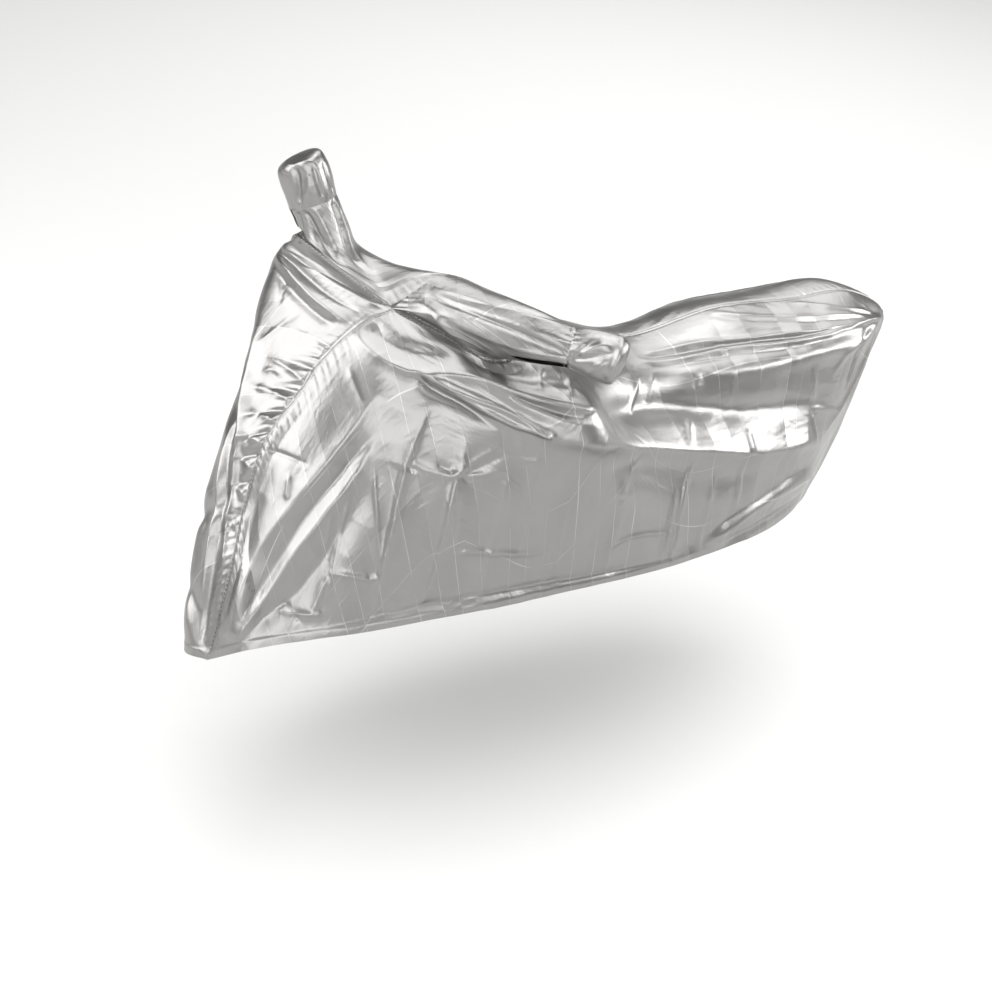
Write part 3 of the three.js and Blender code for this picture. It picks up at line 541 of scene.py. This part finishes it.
# A closed thin sheet: a fine outside, an inside that may be coarser, and cut edges, with flat coordinates
# in metres as its texture coordinates. Faces across a slit are left out.
def clothMesh(name, grid, inner, flat, flip, sides=None):
    columns, rows = grid.shape[:2]
    step = (columns - 1) // (inner.shape[0] - 1)
    outside = gridQuads(columns, rows, flip)
    inside = gridQuads(inner.shape[0], inner.shape[1], not flip)
    if sides is not None:
        side = sides.reshape(-1)
        outside, inside = (quads[(side[quads].max(axis=1) <= 0) | (side[quads].min(axis=1) >= 0)]
                           for quads in (outside, inside))
    points = metres(grid).reshape(-1, 3)
    _, first, same = np.unique(np.round(points * 1e6), axis=0, return_index=True, return_inverse=True)
    weld = first[same.reshape(-1)]
    ids = np.arange(len(points)).reshape(columns, rows)
    _, first, same = np.unique(weld[ids[::step, ::step].reshape(-1)], return_index=True, return_inverse=True)
    innerWeld = first[same.reshape(-1)]
    nearest = (np.rint(np.arange(columns) / step).astype(int)[:, None] * inner.shape[1]
               + np.rint(np.arange(rows) / step).astype(int)).reshape(-1)
    total = len(points)
    faces = weldedFaces(outside, weld)
    edges = {}
    for face in faces:
        for a, b in zip(face, face[1:] + face[:1]):
            key = (min(a, b), max(a, b))
            edges[key] = None if key in edges else (a, b)
    faces += weldedFaces(inside + total, np.concatenate([weld, innerWeld + total]))
    for a, b in filter(None, edges.values()):
        rim = [b, a, int(innerWeld[nearest[a]]) + total, int(innerWeld[nearest[b]]) + total]
        faces.append(list(dict.fromkeys(rim)))
    corners = np.concatenate([np.array(face) for face in faces])
    used, place = np.unique(corners, return_inverse=True)
    starts = np.cumsum([0] + [len(face) for face in faces])
    mesh = bpy.data.meshes.new(name)
    both = np.concatenate([points, metres(inner).reshape(-1, 3)])
    place = place.reshape(-1).tolist()
    mesh.from_pydata(both[used].tolist(), [], [place[a:b] for a, b in zip(starts[:-1], starts[1:])])
    layer = mesh.uv_layers.new(name="flat")
    flatAll = np.concatenate([flat.reshape(-1, 2), flat[::step, ::step].reshape(-1, 2)]) / 1000
    layer.data.foreach_set("uv", flatAll[corners].ravel())
    mesh.polygons.foreach_set("use_smooth", [True] * len(mesh.polygons))
    mesh.set_sharp_from_angle(angle=panelCloth["sharpAngle"])
    mesh.update()
    made = bpy.data.objects.new(name, mesh)
    bpy.context.scene.collection.objects.link(made)
    return made


# Side panels
leftRows = [leftSections[name] for name in sectionNames]
rightRows = [[rightFoot.get(name, leftSections[name][0])] + rightSections[name] for name in sectionNames]
panels = {
    "side_left": {"rows": leftRows, "others": rightRows, "folds": leftFolds, "crumples": [],
                  "flip": True, "seed": 11,
                  "pucker": {"reach": 9, "pitch": 17, "high": 0.9, "start": 0.4}},
    "side_right": {"rows": rightRows, "others": leftRows, "folds": rightFolds, "crumples": seamCrumples,
                   "flip": False, "seed": 23,
                   "pucker": {"reach": 10, "pitch": 17, "high": 1.2, "start": 0.4}},
}
unevenCloth = {"broad": (210, 1.2), "facets": (120, 0.8), "seamDeep": 2.0, "seamWide": 5}


# Short folds given by their place along the sections and their share of the way to the hem.
def crumpleFolds(grid, table):
    rows = grid.shape[1] - 1
    made = []
    for place, slant, share, high in table:
        column = [int(np.argmin(np.abs(places - p))) for p in (place, place + slant / 2, place + slant)]
        route = [tuple(grid[c, int(rows * share * k)]) for c, k in zip(column, (0, 0.5, 1))]
        made.append(fold(panelCloth["crumpleWide"], high, route, (0.8, 0), edge=1.3))
    return made


def shapePanel(name):
    panel = panels[name]
    grid = panelGrid(panel["rows"], panel["others"])
    normals = gridNormals(grid, False, panel["flip"])
    along, down = clothDistances(grid)
    seamAlong = np.repeat(along[:, :1], grid.shape[1], axis=1)
    toHem = down[:, -1:] - down
    toNose, toRear = (np.linalg.norm(grid - end, axis=2) for end in (grid[0, 0], grid[-1, 0]))
    toEnd = np.minimum(toNose, toRear)
    atEnd = np.minimum(1, toEnd / panelCloth["endFade"])
    free = np.minimum(np.minimum(1, down / panelCloth["seamFade"]), atEnd)
    height = free * foldHeights(grid, panel["folds"])
    crumples = foldHeights(grid, crumpleFolds(grid, panel["crumples"]))
    height += np.minimum(1, down / panelCloth["crumpleFade"]) * crumples
    for key, shape in (("broad", unevenness), ("facets", crumple)):
        size, high = unevenCloth[key]
        height += free * high * shape(grid, size, panel["seed"])
    height += atEnd * puckers(seamAlong, down, panel["pucker"])
    groove = np.exp(-(down / unevenCloth["seamWide"]) ** 2) * (down > 0)
    height -= atEnd * unevenCloth["seamDeep"] * groove
    height += panelCloth["hemHigh"] * np.clip((panelCloth["hemDeep"] - toHem) / panelCloth["hemStep"], 0, 1)
    shaped = grid + normals * height[..., None]
    flat = np.stack([np.repeat(along[:, grid.shape[1] // 2][:, None], grid.shape[1], axis=1), down], axis=-1)
    # the inside runs under the lowest cloth near it
    step = panelCloth["insideStep"]
    nearby = np.lib.stride_tricks.sliding_window_view(np.pad(height, step, mode="edge"), (2 * step + 1,) * 2)
    inner = grid + normals * (nearby.min(axis=(2, 3)) - panelCloth["thickness"])[..., None]
    return {"grid": shaped, "inner": inner[::step, ::step], "flat": flat, "flip": panel["flip"]}


cloths = {}
for name in panels:
    cloths[name] = shapePanel(name)
    print(name, "shaped")

# Pockets: steps round and along the cloth, and how far from a seam or the tip the folds begin
pocketCloth = {
    "sewnSteps": 120, "seamSteps": 72, "sleeveRows": 80, "capRows": 44, "roundReach": 12, "roundFull": 1.6,
    "footFade": 15, "neckFade": 10, "puckerFade": 20, "capFade": 8, "tipFade": 12, "gatherFade": 15,
    "sleeveFacets": (90, 0.35), "capFacets": (40, 0.25), "slitDeep": 45,
    "pucker": {"reach": 8, "pitch": 16, "high": 0.9, "start": 1.2},
}


def pocketRing(ring, pocket):
    middle, axis, high, deep = ring
    axis = unit(np.array(axis, float))
    across, up = (unit(np.array(d, float) - axis * (axis @ np.array(d, float)))
                  for d in (pocket["across"], pocket["up"]))
    sewn = np.linspace(pocket["turn"], pocket["seamTurn"], pocketCloth["sewnSteps"] + 1)
    seam = np.linspace(pocket["seamTurn"], pocket["turn"] - 360, pocketCloth["seamSteps"] + 1)[1:-1]
    angle = np.radians(np.concatenate([sewn, seam]))[:, None]
    return np.array(middle) + across * deep * np.cos(angle) + up * high * np.sin(angle)


# Rounds off the corners of a sleeve between its two ends, which stay as they are sewn.
def roundOff(sleeve):
    reach = pocketCloth["roundReach"]
    smooth = sum(np.roll(sleeve, shift, axis=0) for shift in range(-reach, reach + 1)) / (2 * reach + 1)
    share = np.linspace(0, 1, sleeve.shape[1])
    weight = np.clip(4 * share * (1 - share) * pocketCloth["roundFull"], 0, 1)
    return sleeve + (smooth - sleeve) * weight[None, :, None]


def pocketGrids(rows, pocket):
    tops = np.array([row[0] for row in rows[barRow:tankRow + 1]], float)
    sewn = spline(tops, np.linspace(0, 1, pocketCloth["sewnSteps"] + 1))
    seam = spline(pocketSeam, np.linspace(0, 1, pocketCloth["seamSteps"] + 1))[1:-1]
    rings = [np.concatenate([sewn, seam])] + [pocketRing(ring, pocket) for ring in pocket["sleeve"]]
    rings = np.roll(np.stack(rings, axis=1), -pocket["start"], axis=0)
    sleeve = roundOff(spline(rings, np.linspace(0, 1, pocketCloth["sleeveRows"])))
    capRings = [np.roll(pocketRing(ring, pocket), -pocket["start"], axis=0) for ring in pocket["cap"]]
    tip = np.tile(np.array(pocket["tip"], float), (len(sewn) + len(seam), 1))
    capRings = [sleeve[:, -1]] + capRings + [tip]
    cap = spline(np.stack(capRings, axis=1), np.linspace(0, 1, pocketCloth["capRows"]))
    return sleeve, cap


pocketPieces = {
    "pocket_left": {"rows": leftRows, "pocket": leftPocket, "folds": leftSleeveFolds,
                    "capFolds": leftCapFolds, "flip": False, "seed": 41, "gathers": 11, "gatherHigh": 1.0,
                    "gatherReach": 16},
    "pocket_right": {"rows": rightRows, "pocket": rightPocket, "folds": rightSleeveFolds,
                     "capFolds": rightCapFolds, "flip": True, "seed": 57, "gathers": 9, "gatherHigh": 0.4,
                     "gatherReach": 20},
}


# Gathers round a neck: uneven pleats that die out away from it.
def gathers(grid, away, piece):
    turn = np.linspace(0, 2 * np.pi, grid.shape[0], endpoint=False)[:, None]
    pleats = piece["gathers"]
    wave = np.sin(pleats * turn + 0.9 * np.sin(3 * turn)) + 0.5 * np.sin(0.6 * pleats // 1 * turn + 1)
    rise = np.clip(away / 3, 0, 1) * np.exp(-away / piece["gatherReach"])
    return piece["gatherHigh"] * wave * rise


# Parts the cloth along a slit: the cloth near it is moved aside, and the faces across it are left out.
def partSlit(grid, slit):
    length = unit(np.array(slit["along"], float))
    out = np.array(slit["out"], float)
    out = unit(out - length * (length @ out))
    across = np.cross(out, length)
    local = grid - np.array(slit["middle"], float)
    a, b, c = local @ length / slit["long"], local @ across, local @ out
    near = (np.abs(a) < 1) & (np.abs(b) < slit["lip"]) & (np.abs(c) < pocketCloth["slitDeep"])
    half = slit["wide"] * np.sqrt(np.clip(1 - a ** 2, 0, 1))
    moved = np.sign(b) * (half + np.abs(b) * (slit["lip"] - half) / slit["lip"])
    parted = grid + np.where(near, moved - b, 0)[..., None] * across
    return parted, np.where(near, np.sign(b), 0)


def closeRing(grid):
    return np.concatenate([grid, grid[:1]], axis=0)


# A ring of cloth as a sheet, closed where it meets itself.
def ringSheet(base, shaped, flip):
    along, down = clothDistances(base)
    flat = np.stack([closeRing(along), closeRing(down)], axis=-1)
    flat[-1, :, 0] = along[-1] + np.linalg.norm(base[0] - base[-1], axis=1)
    inner = shaped - gridNormals(shaped, True, flip) * panelCloth["thickness"]
    return {"grid": closeRing(shaped), "inner": closeRing(inner), "flat": flat, "flip": flip}


def shapeSleeve(sleeve, piece):
    along, down = clothDistances(sleeve)
    toNeck = down[:, -1:] - down
    free = np.minimum(1, np.minimum(down / pocketCloth["footFade"], toNeck / pocketCloth["neckFade"]))
    size, high = pocketCloth["sleeveFacets"]
    height = free * foldHeights(sleeve, piece["folds"])
    height += free * high * crumple(sleeve, size, piece["seed"])
    seamAlong = np.repeat(along[:, :1], sleeve.shape[1], axis=1)
    crinkles = puckers(seamAlong, down, pocketCloth["pucker"])
    height += np.minimum(1, toNeck / pocketCloth["puckerFade"]) * crinkles
    height += gathers(sleeve, toNeck, piece)
    shaped = sleeve + gridNormals(sleeve, True, piece["flip"]) * height[..., None]
    shaped, sides = partSlit(shaped, piece["pocket"]["slit"])
    return dict(ringSheet(sleeve, shaped, piece["flip"]), sides=closeRing(sides))


def shapeCap(cap, piece):
    down = clothDistances(cap)[1]
    toTip = down[:, -1:] - down
    atTip = np.minimum(1, toTip / pocketCloth["tipFade"])
    free = np.minimum(np.minimum(1, down / pocketCloth["capFade"]), atTip)
    size, high = pocketCloth["capFacets"]
    height = free * high * crumple(cap, size, piece["seed"] + 5)
    height += np.minimum(1, toTip / pocketCloth["gatherFade"]) * gathers(cap, down, piece)
    height += atTip * foldHeights(cap, piece["capFolds"])
    shaped = cap + gridNormals(cap, True, piece["flip"]) * height[..., None]
    return ringSheet(cap, shaped, piece["flip"])


for name, piece in pocketPieces.items():
    sleeve, cap = pocketGrids(piece["rows"], piece["pocket"])
    cloths[name + "_sleeve"] = shapeSleeve(sleeve, piece)
    cloths[name + "_cap"] = shapeCap(cap, piece)
    print(name, "shaped")


# Materials
def linearColour(code):
    parts = [int(code[k:k + 2], 16) / 255 for k in (1, 3, 5)]
    return tuple(p / 12.92 if p <= 0.04045 else ((p + 0.055) / 1.055) ** 2.4 for p in parts) + (1.0,)


# Adds a node to a tree, with its settings, its input values and its links, which come from a socket or from
# the first output of a node.
def addNode(tree, kind, settings=None, values=None, links=None):
    node = tree.nodes.new(kind)
    for key, value in (settings or {}).items():
        setattr(node, key, value)
    for key, value in (values or {}).items():
        node.inputs[key].default_value = value
    for key, source in (links or {}).items():
        output = source.outputs[0] if isinstance(source, bpy.types.Node) else source
        tree.links.new(output, node.inputs[key])
    return node


# Polyester taffeta with an aluminium coating: a satin metal sheen over a fine plain weave. Packing has
# pressed oblongs into it, each tilted a little, and handling has left small wrinkles and a fine grain. Pale
# lines along some of the creases between the oblongs are a painted highlight, which stands in for the glints
# of light on the crease edges. Sizes are in millimetres. The weave is drawn about three times as coarse as a
# real one, so that it shows.
taffeta = {
    # the last of these three colours is that of the painted highlight lines along the creases
    "colour": "#959493", "dull": "#898887", "paintedGlint": "#DEDEDC", "metallic": 0.88, "roughness": 0.32,
    "patch": 110, "wrinkle": 24, "wrinkleStretch": (0.6, 1.5, 1.0), "grain": 7, "weave": 0.6,
    # the oblongs: size, how much it varies and how often, tilt, width of the crease lines between them, and
    # strength of the painted highlight along them
    "packed": (58, 170), "uneven": (13, 30), "turns": (31.0, 17.0, 0.0), "tilt": (0.17, 0.08),
    "crease": 1.4, "paintedHighlightMix": 0.4,
    # strength and depth of each layer of relief
    "relief": {"packed": (1.0, 1000), "wrinkle": (0.45, 1.4), "grain": (0.5, 0.6), "weave": (0.12, 0.12)},
}


def taffetaMaterial():
    made = bpy.data.materials.new("silver_coated_taffeta")
    made.use_nodes = True
    tree = made.node_tree
    tree.nodes.clear()
    place = addNode(tree, "ShaderNodeTexCoord").outputs["UV"]

    # oblongs of uneven size, each tilted its own way
    long, tall = (size / 1000 for size in taffeta["packed"])
    tiltX, tiltY = taffeta["tilt"][0] * long, taffeta["tilt"][1] * tall
    uneven = [size / 1000 for size in taffeta["uneven"]] + [0.0]
    turns = addNode(tree, "ShaderNodeVectorMath", {"operation": "MULTIPLY"}, {1: taffeta["turns"]},
                    {0: place})
    waves = addNode(tree, "ShaderNodeVectorMath", {"operation": "SINE"}, links={0: turns})
    bent = addNode(tree, "ShaderNodeVectorMath", {"operation": "MULTIPLY_ADD"}, {1: uneven},
                   {0: waves, 2: place})
    cells = addNode(tree, "ShaderNodeVectorMath", {"operation": "MULTIPLY"},
                    {1: (1 / long, 1 / tall, 0.0)}, {0: bent})
    which = addNode(tree, "ShaderNodeVectorMath", {"operation": "FLOOR"}, links={0: cells})
    part = addNode(tree, "ShaderNodeVectorMath", {"operation": "FRACTION"}, links={0: cells})
    inside = addNode(tree, "ShaderNodeVectorMath", {"operation": "ADD"}, {1: (-0.5, -0.5, 0.0)},
                     {0: part})
    chance = addNode(tree, "ShaderNodeTexWhiteNoise", {"noise_dimensions": "2D"}, links={"Vector": which})
    tilt = addNode(tree, "ShaderNodeVectorMath", {"operation": "MULTIPLY_ADD"},
                   {1: (tiltX, tiltY, 0.0), 2: (-tiltX / 2, -tiltY / 2, 0.0)},
                   {0: chance.outputs["Color"]})
    facet = addNode(tree, "ShaderNodeVectorMath", {"operation": "DOT_PRODUCT"},
                    links={0: inside, 1: tilt})

    # painted highlight: pale lines along the creases between them, shown in patches
    reach = addNode(tree, "ShaderNodeVectorMath", {"operation": "ABSOLUTE"}, links={0: inside})
    edge = addNode(tree, "ShaderNodeSeparateXYZ", links={0: reach})
    lines = []
    for axis, size in enumerate(taffeta["packed"]):
        near = {"From Min": 0.5 - taffeta["crease"] / size, "From Max": 0.5}
        lines.append(addNode(tree, "ShaderNodeMapRange", {"interpolation_type": "SMOOTHSTEP"}, near,
                             {"Value": edge.outputs[axis]}))
    line = addNode(tree, "ShaderNodeMath", {"operation": "MAXIMUM"}, links={0: lines[0], 1: lines[1]})
    patch = addNode(tree, "ShaderNodeTexNoise", None, {"Scale": 1000 / taffeta["patch"], "Detail": 2.0},
                    {"Vector": place})
    paintedGlintPatches = addNode(tree, "ShaderNodeMapRange", None,
                   {"From Min": 0.4, "From Max": 0.65, "To Min": 0.0, "To Max": taffeta["paintedHighlightMix"]},
                   {"Value": patch})
    paintedGlint = addNode(tree, "ShaderNodeMath", {"operation": "MULTIPLY"}, links={0: line, 1: paintedGlintPatches})

    # relief, from the largest layer to the finest
    drawn = addNode(tree, "ShaderNodeVectorMath", {"operation": "MULTIPLY"},
                    {1: taffeta["wrinkleStretch"]}, {0: place})
    wrinkle = addNode(tree, "ShaderNodeTexNoise", {"noise_type": "RIDGED_MULTIFRACTAL"},
                      {"Scale": 1000 / taffeta["wrinkle"], "Detail": 3.0, "Roughness": 0.5},
                      {"Vector": drawn})
    grain = addNode(tree, "ShaderNodeTexNoise", None, {"Scale": 1000 / taffeta["grain"], "Detail": 2.0},
                    {"Vector": place})
    weave = addNode(tree, "ShaderNodeTexChecker", None, {"Scale": 1000 / taffeta["weave"]},
                    {"Vector": place})
    layers = {"packed": facet.outputs["Value"], "wrinkle": wrinkle, "grain": grain,
              "weave": weave.outputs["Fac"]}
    surface = {}
    for layer, height in layers.items():
        strength, deep = taffeta["relief"][layer]
        bump = addNode(tree, "ShaderNodeBump", None, {"Strength": strength, "Distance": deep / 1000},
                       {"Height": height, **surface})
        surface = {"Normal": bump.outputs["Normal"]}

    tone = addNode(tree, "ShaderNodeMix", {"data_type": "RGBA"},
                   {6: linearColour(taffeta["colour"]), 7: linearColour(taffeta["dull"])},
                   {"Factor": patch})
    # the painted highlight lines are mixed over the cloth's tone here
    paintedHighlightMix = addNode(tree, "ShaderNodeMix", {"data_type": "RGBA"}, {7: linearColour(taffeta["paintedGlint"])},
                     {"Factor": paintedGlint, 6: tone.outputs[2]})
    cloth = addNode(tree, "ShaderNodeBsdfPrincipled", None,
                    {"Metallic": taffeta["metallic"], "Roughness": taffeta["roughness"]},
                    {"Base Color": paintedHighlightMix.outputs[2], **surface})
    addNode(tree, "ShaderNodeOutputMaterial", links={"Surface": cloth})
    return made


# One colour all over, with no pattern.
def plainMaterial(name, colour, roughness):
    made = bpy.data.materials.new(name)
    made.use_nodes = True
    shader = made.node_tree.nodes["Principled BSDF"]
    shader.inputs["Base Color"].default_value = linearColour(colour)
    shader.inputs["Roughness"].default_value = roughness
    return made


silver = taffetaMaterial()

# Stitches in metres, drawn 1.3 mm thick and 5 mm long so that they show in the picture. Polyester sewing
# thread is dull, and a little lighter than the cloth.
stitchLine = {"spacing": 0.0085, "long": 0.005, "thick": 0.0013, "colour": "#A9A9A6", "roughness": 0.6}
thread = plainMaterial("polyester_thread", stitchLine["colour"], stitchLine["roughness"])


def stitchTree():
    tree = bpy.data.node_groups.new("sewn_stitches", "GeometryNodeTree")
    sockets = (("Geometry", "NodeSocketGeometry", "INPUT"), ("Spacing", "NodeSocketFloat", "INPUT"),
               ("Stitch size", "NodeSocketVector", "INPUT"), ("Thread", "NodeSocketMaterial", "INPUT"),
               ("Geometry", "NodeSocketGeometry", "OUTPUT"))
    for label, kind, way in sockets:
        tree.interface.new_socket(name=label, in_out=way, socket_type=kind)
    start = addNode(tree, "NodeGroupInput")
    path = addNode(tree, "GeometryNodeMeshToCurve", links={"Mesh": start.outputs["Geometry"]})
    even = addNode(tree, "GeometryNodeResampleCurve", {"mode": "LENGTH"},
                   links={"Curve": path, "Length": start.outputs["Spacing"]})
    tangent = addNode(tree, "GeometryNodeInputTangent")
    turn = addNode(tree, "FunctionNodeAlignRotationToVector", {"axis": "X"}, links={"Vector": tangent})
    bead = addNode(tree, "GeometryNodeMeshUVSphere", None, {"Segments": 6, "Rings": 4, "Radius": 0.5})
    copies = addNode(tree, "GeometryNodeInstanceOnPoints",
                     links={"Points": even, "Instance": bead, "Rotation": turn,
                            "Scale": start.outputs["Stitch size"]})
    solid = addNode(tree, "GeometryNodeRealizeInstances", links={"Geometry": copies})
    dyed = addNode(tree, "GeometryNodeSetMaterial",
                   links={"Geometry": solid, "Material": start.outputs["Thread"]})
    addNode(tree, "NodeGroupOutput", links={"Geometry": dyed})
    return tree


stitches = stitchTree()


# Stitches along lines of points on the cloth, as one mesh.
def stitchObject(name, lines):
    mesh = bpy.data.meshes.new(name)
    points = np.concatenate(lines)
    starts = np.cumsum([0] + [len(line) for line in lines])
    edges = [(k, k + 1) for a, b in zip(starts[:-1], starts[1:]) for k in range(a, b - 1)]
    mesh.from_pydata(metres(points).tolist(), [(int(a), int(b)) for a, b in edges], [])
    path = bpy.data.objects.new(name + "_path", mesh)
    bpy.context.scene.collection.objects.link(path)
    modifier = path.modifiers.new("stitches", "NODES")
    modifier.node_group = stitches
    inputs = [item for item in stitches.interface.items_tree if item.in_out == "INPUT"]
    sockets = {item.name: item.identifier for item in inputs}
    modifier[sockets["Spacing"]] = stitchLine["spacing"]
    modifier[sockets["Stitch size"]] = (stitchLine["long"], stitchLine["thick"], stitchLine["thick"])
    modifier[sockets["Thread"]] = thread
    depsgraph = bpy.context.evaluated_depsgraph_get()
    sewn = bpy.data.meshes.new_from_object(path.evaluated_get(depsgraph))
    path.modifiers.remove(modifier)
    bpy.data.objects.remove(path)
    sewn.name = name
    made = bpy.data.objects.new(name, sewn)
    bpy.context.scene.collection.objects.link(made)
    return made


# Row of each cloth on which its stitches lie, next to its seam
stitchRows = {"side_left": [2], "side_right": [2], "pocket_left_sleeve": [3, -4], "pocket_left_cap": [3],
              "pocket_right_sleeve": [3], "pocket_right_cap": []}
for name, cloth in cloths.items():
    made = clothMesh(name + "_cloth", **cloth)
    made.data.materials.append(silver)
    lines = [cloth["grid"][:, row] for row in stitchRows[name]]
    sewn = [stitchObject(name + "_stitches", lines)] if lines else []
    for piece in [made] + sewn:
        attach(piece, "root")
    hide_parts(name)
    print(name, "made,", len(made.data.polygons), "faces")

# Studio: a pale floor under an even light from above, and soft panels round the cover
studio = {
    "floorSize": 120.0, "ground": -0.957, "floor": "#C5C5C4", "floorRoughness": 0.9,
    "room": 0.1, "wall": 0.48,
    # where the even light comes from, how wide it looks in degrees, and its power
    "overhead": ((-0.11, 0.13, 0.98), 58, 2.4),
    # place, target, width, height and power of each panel
    "panels": {
        "rear_light": ((-3.1, 1.35, 0.95), (0.2, 0.2, -0.1), 2.9, 1.3, 86.0),
        "side_light": ((-2.2, 2.9, 2.2), (0.2, 0.2, -0.1), 2.6, 1.8, 42.0),
        "front_light": ((3.75, -0.02, 1.85), (0.9, 0.0, 0.1), 4.2, 3.4, 188.0),
        "fill_light": ((1.84, 4.45, 0.89), (0.7, 0.2, -0.05), 5.2, 1.9, 115.0),
        "far_light": ((-3.2, -3.6, 4.5), (-3.2, -3.6, 0.0), 6.6, 6.2, 335.0),
    },
}


def studioFloor():
    half = studio["floorSize"] / 2
    mesh = bpy.data.meshes.new("studio_floor")
    corners = [(-half, -half), (half, -half), (half, half), (-half, half)]
    mesh.from_pydata([(x, y, studio["ground"]) for x, y in corners], [], [(0, 1, 2, 3)])
    floor = bpy.data.objects.new("studio_floor", mesh)
    bpy.context.scene.collection.objects.link(floor)
    mesh.materials.append(plainMaterial("matt_floor_paint", studio["floor"], studio["floorRoughness"]))


def addLight(data, place, direction):
    light = bpy.data.objects.new(data.name, data)
    light.location = place
    light.rotation_mode = "QUATERNION"
    light.rotation_quaternion = direction.to_track_quat("-Z", "Y")
    bpy.context.scene.collection.objects.link(light)


def panelLight(name, place, target, width, height, power):
    data = bpy.data.lights.new(name, "AREA")
    data.shape = "RECTANGLE"
    data.size = width
    data.size_y = height
    data.energy = power
    addLight(data, place, Vector(target) - Vector(place))


def overheadLight(source, angle, power):
    data = bpy.data.lights.new("overhead_light", "SUN")
    data.angle = np.radians(angle)
    data.energy = power
    addLight(data, Vector(source) * 5, -Vector(source))


studioFloor()
overheadLight(*studio["overhead"])
for name, panel in studio["panels"].items():
    panelLight(name, *panel)
# a dim room lights the cloth, and a pale wall stands behind the floor in the picture
world = bpy.data.worlds.new("studio_room")
world.use_nodes = True
room = world.node_tree
room.nodes.clear()
seen = addNode(room, "ShaderNodeLightPath").outputs["Is Camera Ray"]
shade = addNode(room, "ShaderNodeMapRange", None, {"To Min": studio["room"], "To Max": studio["wall"]},
                {"Value": seen})
glow = addNode(room, "ShaderNodeBackground", links={"Color": shade})
addNode(room, "ShaderNodeOutputWorld", links={"Surface": glow})
bpy.context.scene.world = world

# Camera of the photograph
lens = {"place": (1.9277, 2.3628, 1.2916), "right": (-0.8797, 0.4652, 0.0991),
        "up": (-0.1685, -0.4996, 0.8497), "forward": (-0.4448, -0.7308, -0.5178),
        "focal": 54.435, "sensor": 36.0, "reach": 200.0}
camera = bpy.data.objects.new("camera", bpy.data.cameras.new("camera"))
bpy.context.scene.collection.objects.link(camera)
axes = [Vector(lens["right"]), Vector(lens["up"]), -Vector(lens["forward"])]
camera.matrix_world = Matrix.Translation(lens["place"]) @ Matrix(axes).transposed().to_4x4()
camera.data.lens = lens["focal"]
camera.data.sensor_width = lens["sensor"]
camera.data.clip_end = lens["reach"]
bpy.context.scene.camera = camera
bpy.context.scene.view_settings.view_transform = "Standard"

bpy.context.view_layer.update()
print("scene ready")
